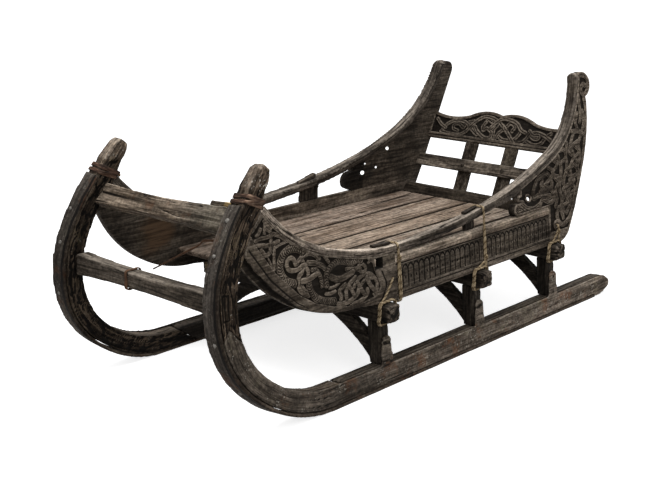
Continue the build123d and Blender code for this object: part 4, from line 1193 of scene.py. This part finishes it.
def resample(points, step, closed=False):
    """A smooth run through points in even steps, and its length."""
    p = np.array(points, float)
    per = 12
    if closed:
        fine = smooth_line(np.vstack([p[-1:], p, p[:2]]), per)[per:-per]
    else:
        fine = smooth_line(p, per)
    run = run_length(fine)
    n = max(4, int(run[-1] / step))
    at = np.linspace(0.0, run[-1], n + (0 if closed else 1), endpoint=not closed)
    return np.stack([np.interp(at, run, fine[:, k]) for k in range(3)], 1), run[-1]


def headings(path, closed):
    """Unit directions along a path."""
    ahead = np.roll(path, -1, 0) - np.roll(path, 1, 0)
    if not closed:
        ahead[0], ahead[-1] = path[1] - path[0], path[-1] - path[-2]
    return ahead / np.linalg.norm(ahead, axis=1)[:, None]


def frames(path, closed):
    """Two directions across a path, carried along without twisting."""
    ahead = headings(path, closed)
    a = np.zeros_like(path)
    first = np.array([0.31, 0.52, 0.79])
    first -= ahead[0] * (first @ ahead[0])
    a[0] = first / np.linalg.norm(first)
    for i in range(1, len(path)):
        v = a[i - 1] - ahead[i] * (a[i - 1] @ ahead[i])
        a[i] = v / np.linalg.norm(v)
    return a, np.cross(ahead, a)


def tube(shell, path, radius, sides, closed=False, start=0.0):
    a, b = frames(path, closed)
    n = len(path)
    base = len(shell.verts)
    radius = np.broadcast_to(radius, n)
    run = start + run_length(path)
    for i in range(n):
        for t in np.linspace(0.0, 2.0 * math.pi, sides, endpoint=False):
            point = path[i] + radius[i] * (math.cos(t) * a[i] + math.sin(t) * b[i])
            shell.add(point, (run[i], math.cos(t) * radius[i], math.sin(t) * radius[i]))
    shell.walls(base, n, sides, closed)
    if not closed:
        shell.cap(base, sides, flip=True)
        shell.cap(base + (n - 1) * sides, sides)


CORD_R = 0.0039
STRANDS = [(0.4, 0.36, 0.32), (1.15, 1.15, 1.15), (1.15, 1.15, 1.15)]


def twisted(paths, radius):
    """Cords, each laid up of three strands, and the tint of their points."""
    shell = Shell()
    tint = []
    for points, closed in paths:
        path, length = resample(points, radius * 0.95, closed)
        a, b = frames(path, closed)
        run = np.linspace(0.0, length, len(path), endpoint=not closed)
        turns = length / (radius * 6.0)
        turns = round(turns) if closed else turns
        for k, colour in enumerate(STRANDS):
            phi = 2.0 * math.pi * (turns * run / length + k / 3.0)
            middle = path + radius * 0.5 * (np.cos(phi)[:, None] * a + np.sin(phi)[:, None] * b)
            tube(shell, middle, radius * 0.56, 5, closed, k * 0.7)
            tint += [colour] * (len(shell.verts) - len(tint))
    return shell, tint


def fibre(name, dark, mid, light, scale, bump=0.0008):
    """Fibres along the piece, with darker patches."""
    g = Graph(name)
    thread = g.noise(g.scaled(g.attribute("grain"), scale), 1.0, 4.0, 0.65)
    patch = g.noise(g.add("TexCoord", out=3), 30.0, 3.0, 0.6)
    colour = g.ramp(thread, [(0.3, dark), (0.5, mid), (0.7, light)])
    colour = g.mix(g.band(patch, 0.35, 0.7, 0.55, 0.0), colour, dark)
    colour = g.scaled(colour, g.attribute("tint"))
    rough = g.band(thread, 0.3, 0.7, 0.95, 0.8)
    return g.finish(colour, rough, thread, 0.7, bump, Specular_IOR_Level=0.2)


CORD = fibre("cord", (0.12, 0.083, 0.046), (0.42, 0.325, 0.2), (0.72, 0.6, 0.42), (170.0, 500.0, 500.0))
BARK = fibre("bark_band", (0.014, 0.007, 0.005), (0.1, 0.056, 0.037), (0.31, 0.215, 0.15),
             (30.0, 260.0, 260.0), 0.0025)
WITHY = fibre("withy", (0.045, 0.022, 0.013), (0.13, 0.068, 0.038), (0.25, 0.15, 0.09),
              (30.0, 400.0, 400.0), 0.001)
IRON = fibre("peg_heads", (0.12, 0.11, 0.1), (0.3, 0.28, 0.25), (0.5, 0.48, 0.45),
             (120.0, 120.0, 120.0), 0.0006)


# Lashings: routes in millimetres, by the side's frame or by a beam's end
BEAMS = (367.0, -165.0, -665.0)
BEAM_HALF = 37.0
# How far the right rail's upper face stands above its solid
RAIL_RIGHT_FULLER = 7.5


def on_side(points, side):
    return side_to_world(np.array(points, float) * 0.001, side)


def rail_top(side, x):
    """Height up the side of a rail's upper face at a place along it, in millimetres."""
    mesh = nodes["top_rail_left" if side > 0 else "top_rail_right"].data
    q = world_to_side(coords(mesh), side) * 1000.0
    a, b = q[edge_list(mesh)].swapaxes(0, 1)
    across = (a[:, 0] - x) * (b[:, 0] - x) < 0.0
    a, b = a[across], b[across]
    t = (x - a[:, 0]) / (b[:, 0] - a[:, 0])
    return float((a[:, 2] + t * (b[:, 2] - a[:, 2])).max()) + (0.0 if side > 0 else RAIL_RIGHT_FULLER)


def beam_ring(x, y, side, lift=0.0):
    """Once round a beam's end, with a slight waver."""
    w = BEAM_HALF
    ring = [(x - w, 224.0), (x, 222.0 + lift), (x + w, 224.0), (x + w + 1, 260.0),
            (x + w, 294.0), (x, 296.0), (x - w, 294.0), (x - w - 1, 260.0)]
    waver = [2.5 * math.sin(i * 2.1) for i in range(len(ring))]
    return np.array([(a, side * (y + d), z) for (a, z), d in zip(ring, waver)]) * 0.001


def beam_turns(x, y, apart, side):
    return [(beam_ring(x, y, side), True), (beam_ring(x, y + apart, side, 3.0), True)]


def body_loop(x, side, sway):
    """Once round rail and board: outside, under, inside, over."""
    top = rail_top(side, x)
    return on_side([(x + sway, 4.5, top - 12), (x, 5.0, 400.0), (x - sway * 0.6, 5.0, 340.0),
                    (x, 4.5, 294.0), (x, -2.0, 281.0), (x, -16.0, 280.0), (x, -33.0, 283.0),
                    (x, -38.0, 316.0), (x, -47.0, top - 40), (x, -47.5, top - 8), (x + 2, -42.0, top + 4),
                    (x + sway, -21.0, top + 5.5), (x + sway, -1.0, top + 3)], side)


def slot_loop(x, side, sway):
    """Once through the slot in the board and under it."""
    return on_side([(x + sway, 4.5, 340.0), (x, 5.0, 316.0), (x - sway, 4.5, 294.0), (x, -2.0, 281.0),
                    (x, -16.0, 280.0), (x, -33.0, 283.0), (x, -36.0, 316.0), (x, -34.0, 340.0),
                    (x, -16.0, 344.0), (x + sway, -2.0, 344.0)], side)


def two_turns(route, first, second, side, sway):
    return [(route(first, side, sway), True), (route(second, side, -sway), True)]


def knot(x, s, side, size=6.0):
    """Three small turns drawn tight on the outer face."""
    rings = []
    for tilt, shift in ((0.3, -2.6), (-0.5, 2.2), (1.35, 0.0)):
        ring = []
        for k in range(8):
            a = k * math.pi / 4.0
            u, w = size * math.cos(a), size * 0.62 * math.sin(a)
            ring.append((x + u * math.cos(tilt), 8.5 + w, s + shift + u * math.sin(tilt)))
        rings.append((on_side(ring, side), True))
    return rings


def leg(route, foot, side):
    """An open run down the side's face that ends under a beam."""
    return np.vstack([on_side(route, side), np.array(foot) * np.array([0.001, side * 0.001, 0.001])]), False


def vee(side, start, x, ends):
    """Two legs from a knot to the two sides of a beam's end."""
    out = []
    for a, b in ends:
        route = start + [((a + x) / 2.0, 5.2, 302.0)]
        out.append(leg(route, [(a, 419.0, 284.0), (b, 421.0, 250.0), (b, 420.0, 221.0)], side))
    return out


def lashings(side):
    hand = "left" if side > 0 else "right"
    front, middle, rear = BEAMS
    one = two_turns(body_loop, 286.0, 293.5, side, 3.0) + beam_turns(front, 417.0, 6.5, side)
    one.append(leg([(322, 2.5, 368), (332, 4.0, 356), (362, 4.0, 320), (394, 3.5, 290)],
                   [(403.5, 418.5, 272.0), (405.0, 419.5, 245.0), (403.0, 419.0, 221.0)], side))
    one += knot(290.0, 428.0, side)
    if side > 0:
        two = two_turns(body_loop, -206.0, -200.0, side, 2.5)
    else:
        two = two_turns(slot_loop, -206.0, -200.0, side, 1.5)
    two += beam_turns(middle, 416.5, 6.0, side)
    two += vee(side, [(-203, 6.0, 342), (-203, 6.5, 322)], -203.0, ((-124.0, -130.0), (-205.0, -201.0)))
    two += knot(-203.0, 330.0, side)
    three = beam_turns(rear, 416.5, 6.0, side)
    three += vee(side, [(-704, -10.0, 358), (-703, 3.0, 357), (-702, 5.0, 340)], -702.0,
                 ((-624.0, -629.0), (-706.0, -702.0)))
    three += knot(-702.0, 334.0, side, 5.0)
    for where, paths in (("front", one), ("middle", two), ("rear", three)):
        node = "lashing_%s_%s" % (where, hand)
        shell, tint = twisted(paths, CORD_R)
        shell.piece("cord_" + node, CORD, [node], "cord", tint)


lashings(1)
lashings(-1)


# Bands of bark and withy, and the twig
STRAP_SECTION = [(-0.5, 0.0), (-0.46, 0.8), (-0.2, 1.0), (0.2, 1.0), (0.46, 0.8), (0.5, 0.0)]
BARK_THICK = 0.0022
# The stem's section under the bands: behind its front, and outward
STEM_MIDDLE = (0.048, -0.0335)
STEM_FRONT, STEM_REAR = 0.0145, 0.0775
STEM_OUTER, STEM_INNER = -0.0012, -0.0658
STEM_CORNER = 0.006
BAND_AT = 0.042
# Turns of bark: shift up the stem, tilt, how far out they lie, and width
BARK_TURNS = [(-0.007, 0.3, 0.0, 0.015), (0.0095, 0.24, 0.0006, 0.0155), (0.001, 0.52, 0.0018, 0.011)]
# The loose end: places up the stem, behind its front and outward
BARK_END = [(0.054, 0.0805, -0.044), (0.0565, 0.0825, -0.056), (0.0565, 0.0815, -0.066),
            (0.053, 0.079, -0.0705)]
BARK_END_TINT = (3.0, 3.3, 2.6)
# The twig has the same route as its solid
TWIG = [(0.930, 0.366, 0.589), (0.930, 0.176, 0.571), (0.926, 0.120, 0.541), (0.915, -0.104, 0.424)]
TWIG_R = 0.0036


def strap(shell, loop, width_way, width, thick):
    """A flat band along a closed run of points; width_way points across it."""
    path, length = resample(loop, 0.004, True)
    n = len(path)
    out = np.cross(headings(path, True), width_way)
    out /= np.linalg.norm(out, axis=1)[:, None]
    if ((path - path.mean(0)) * out).sum() < 0:
        out = -out
    run = np.linspace(0.0, length, n, endpoint=False)
    base = len(shell.verts)
    ragged = 1.0 + 0.16 * noise(np.stack([run * 60.0, run * 0.0, run * 0.0], 1), base)
    for i in range(n):
        for across, up in STRAP_SECTION:
            point = path[i] + width_way * (across * width * ragged[i]) + out[i] * (up * thick)
            shell.add(point, (run[i], across * width, up * thick))
    shell.walls(base, n, len(STRAP_SECTION), True)


def stem_point(along, left, v, side):
    """A point by the straight top of a stem; along from its lower end, left behind its front."""
    at, angle = list(trail_legs(**SOLE))[-1][:2]
    ahead, aside = ways(angle)
    x, s = at + along * ahead + left * aside
    return side_to_world(np.array([[x, v, s]]), side)[0]


def stem_band(side):
    """Three uneven turns of bark round the stem's head, higher at the back, and a loose end."""
    hand = "left" if side > 0 else "right"
    shell = Shell()
    up = stem_point(0.1, *STEM_MIDDLE, side) - stem_point(0.0, *STEM_MIDDLE, side)
    up /= np.linalg.norm(up)
    for shift, tilt, fat, width in BARK_TURNS:
        g = 0.0008 + fat
        c = STEM_CORNER
        front, rear = STEM_FRONT - g, STEM_REAR + g
        outer, inner = STEM_OUTER + g, STEM_INNER - g
        ring = [(front, -c), (front + c, outer), (0.046, outer), (rear - c, outer),
                (rear, -c), (rear, STEM_MIDDLE[1]), (rear, -0.061), (rear - c, inner),
                (0.046, inner), (front + c, inner), (front, -0.061), (front, STEM_MIDDLE[1])]
        loop = []
        for left, v in ring:
            loop.append(stem_point(BAND_AT + shift + tilt * (left - STEM_MIDDLE[0]), left, v, side))
        strap(shell, loop, up, width, BARK_THICK)
    count = len(shell.verts)
    path = resample([stem_point(*place, side) for place in BARK_END], 0.003)[0]
    tube(shell, path, 0.0042, 7)
    g = np.array(shell.grain)
    patch = noise(np.stack([g[:, 0] * 45.0, g[:, 1] * 160.0, g[:, 0] * 0.0], 1), 71)
    tint = (0.3 + 0.95 * np.clip(g[:, 2] / BARK_THICK, 0.0, 1.0)) * (0.86 + 0.9 * patch)
    tint = np.repeat(tint[:, None], 3, 1)
    tint[count:] = BARK_END_TINT
    shell.piece("band_" + hand, BARK, ["stem_band_" + hand], "bark_band", tint)


def withy_band():
    """Two crossed turns round the cross rail."""
    shell = Shell()
    lo, hi = (np.array(v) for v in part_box("cross_rail_withy"))
    x0, x1, z0, z1 = lo[0] + 0.003, hi[0] - 0.003, lo[2] + 0.003, hi[2] - 0.003
    x, z = (x0 + x1) / 2, (z0 + z1) / 2
    bulge = 0.001
    ring = [(x0, z0), (x, z0 - bulge), (x1, z0), (x1 + bulge, z), (x1, z1), (x, z1 + bulge),
            (x0, z1), (x0 - bulge, z)]
    for shift, tilt in ((-0.002, 0.03), (0.003, -0.05)):
        y = 0.5 * (lo[1] + hi[1]) + shift
        loop = [(a, y + tilt * (b - z), b) for a, b in ring]
        strap(shell, loop, np.array([0.0, 1.0, 0.0]), 0.0075, 0.003)
    shell.piece("withy_band", WITHY, ["cross_rail_withy"], "withy")


def twig():
    """A knotty stick that thins towards its lower end."""
    shell = Shell()
    path = resample(TWIG, 0.004)[0]
    n = len(path)
    knots = noise(np.stack([np.linspace(0, 22, n), np.zeros(n), np.zeros(n)], 1), 5)
    tube(shell, path, TWIG_R * (1.0 + 0.3 * knots) * np.linspace(1.1, 0.7, n), 9)
    shell.piece("twig", WITHY, ["loose_twig"], "withy")


stem_band(1)
stem_band(-1)
withy_band()
twig()


# Rivets and pegs
def peg(shell, at, out, radius, high, seed):
    """A slightly uneven domed head."""
    out = out / np.linalg.norm(out)
    a = np.cross(out, (0.3, 0.5, 0.81))
    a /= np.linalg.norm(a)
    b = np.cross(out, a)
    base = len(shell.verts)
    rings, sides = 4, 14
    for i in range(rings):
        tilt = i / rings * math.pi / 2
        for k in range(sides):
            t = 2 * math.pi * k / sides
            uneven = 1.0 + 0.08 * math.sin(3 * t + seed) + 0.05 * math.sin(5 * t + 2 * seed)
            r = radius * math.cos(tilt) * uneven
            rise = high * math.sin(tilt) - 0.0015 * (i == 0)
            p = at + out * rise + r * (math.cos(t) * a + math.sin(t) * b)
            shell.add(p, tuple(p))
    shell.add(at + out * high, tuple(at))
    shell.walls(base, rings, sides)
    top = base + rings * sides
    for k in range(sides):
        shell.faces.append((top - sides + k, top - sides + (k + 1) % sides, top))
    shell.cap(base, sides, flip=True)


def strip_point(height, v, side):
    """A point on the front of a stem's strip at a height, and the way out from there."""
    places = np.linspace(0.5, 1.2, 1401)
    left = along_trail(places, np.full(len(places), height), **SOLE)[1]
    x = places[np.argmin(np.abs(left))]
    d = 0.002
    left = along_trail(np.array([x, x + d, x]), np.array([height, height, height + d]), **SOLE)[1]
    ahead = (x - (left[1] - left[0]), v, height - (left[2] - left[0]))
    at, to = side_to_world(np.array([(x, v, height), ahead]), side)
    return at, to - at


# Rivets in the strips: height, place across, radius, and how far the strip has thinned there
LOW_RIVETS = [(0.33, -0.03, 0.0065, 0.0), (0.16, -0.036, 0.0065, 0.0)]
RIVETS = {
    1: [(0.683, -0.040, 0.0075, 0.0085), (0.586, -0.042, 0.006, 0.003)] + LOW_RIVETS,
    -1: [(0.612, -0.022, 0.0065, 0.005), (0.505, -0.03, 0.0065, 0.0)] + LOW_RIVETS,
}
# Pegs in each post's tongue: shift along and height, in millimetres; and in the backrest's middle rail
POST_PEGS = ((0.0, 158.0), (4.0, 96.0))
RAIL_PEGS = (-0.120, 0.080)
RAIL_PEG_UP = 0.116
rivets, pegs = Shell(), Shell()
seed = 0
for side in (1, -1):
    for height, v, radius, thinned in RIVETS[side]:
        at, out = strip_point(height, v, side)
        peg(rivets, at - out / np.linalg.norm(out) * thinned, out, radius, 0.0036, seed)
        seed += 1
for side in (1, -1):
    for x in BEAMS:
        for dx, s in POST_PEGS:
            at, to = on_side([(x + dx, 0.0, s), (x + dx, 10.0, s)], side)
            peg(pegs, at, to - at, 0.0052, 0.0022, seed)
            seed += 1
for y in RAIL_PEGS:
    at, to = back_to_world(np.array([(y, 0.020, RAIL_PEG_UP), (y, 0.030, RAIL_PEG_UP)]))
    peg(pegs, at, to - at, 0.0095, 0.005, seed)
    seed += 1
rivets.piece("strip_rivets", IRON, [], "dark_wood")
pegs.piece("wood_pegs", WOODS["dark"], [], "dark_wood", np.full((len(pegs.verts), 3), 0.6))


# Floor, light and camera
FLOOR_SIZE = 60.0
WORLD_LIGHT = 0.4


def seen_directly(tree):
    """1 for rays from the camera, or from a mirror or glass, and 0 for rays that light the scene."""
    path = tree.nodes.new("ShaderNodeLightPath")
    total = path.outputs["Is Camera Ray"]
    for name in ("Is Glossy Ray", "Is Transmission Ray"):
        node = tree.nodes.new("ShaderNodeMath")
        node.operation = "MAXIMUM"
        tree.links.new(total, node.inputs[0])
        tree.links.new(path.outputs[name], node.inputs[1])
        total = node.outputs[0]
    return total


def stage_floor():
    bpy.ops.mesh.primitive_plane_add(size=FLOOR_SIZE, location=(0.0, 0.0, 0.0))
    floor = bpy.context.object
    floor.name = "studio_floor"
    g = Graph("studio_floor")
    far = g.add("VectorMath", out=1, settings=dict(operation="LENGTH"), i0=g.add("TexCoord", out=3))
    grey = g.add("BsdfDiffuse", Color=(0.8, 0.8, 0.8, 1.0))
    dim = g.add("BsdfDiffuse", Color=(0.26, 0.25, 0.24, 1.0))
    glow = g.add("Emission", Color=(1.0, 1.0, 1.0, 1.0), Strength=g.band(far, 1.0, 4.0, 0.76, 0.95))
    both = g.add("AddShader", i0=grey, i1=glow)
    floor.data.materials.append(g.output(g.add("MixShader", i0=seen_directly(g.tree), i1=dim, i2=both)))


def studio_world():
    """A dim even light that is white where it is seen."""
    world = bpy.data.worlds.new("studio")
    scene.world = world
    world.use_nodes = True
    tree = world.node_tree
    back = tree.nodes["Background"]
    back.inputs["Color"].default_value = (1.0, 1.0, 1.0, 1.0)
    level = tree.nodes.new("ShaderNodeMapRange")
    level.inputs["To Min"].default_value = WORLD_LIGHT
    level.inputs["To Max"].default_value = 1.0
    tree.links.new(seen_directly(tree), level.inputs["Value"])
    tree.links.new(level.outputs["Result"], back.inputs["Strength"])


def lamp(name, at, to, size, watts):
    data = bpy.data.lights.new(name, "AREA")
    data.energy = watts
    data.size = size
    ob = bpy.data.objects.new(name, data)
    ob.location = at
    ob.rotation_euler = (Vector(to) - Vector(at)).to_track_quat("-Z", "Y").to_euler()
    scene.collection.objects.link(ob)


stage_floor()
studio_world()
lamp("top_light", (0.5, 0.5, 4.2), (0.0, 0.0, 0.4), 3.0, 105.0)
lamp("side_light", (2.6, 3.6, 3.0), (0.2, 0.2, 0.4), 2.2, 45.0)

# Camera: the picture's width and focal length in pixels, place, and direction in degrees
PICTURE_WIDTH = 650.0
FOCAL = 1165.42
CAMERA_AT = (3.20463, 2.73249, 1.47227)
YAW = math.radians(222.38)
PITCH = math.radians(14.93)
camera = bpy.data.objects.new("camera", bpy.data.cameras.new("camera"))
scene.collection.objects.link(camera)
scene.camera = camera
camera.data.sensor_width = 36.0
camera.data.lens = camera.data.sensor_width * FOCAL / PICTURE_WIDTH
camera.location = CAMERA_AT
view = Vector((math.cos(PITCH) * math.cos(YAW), math.cos(PITCH) * math.sin(YAW), -math.sin(PITCH)))
camera.rotation_euler = view.to_track_quat("-Z", "Y").to_euler()
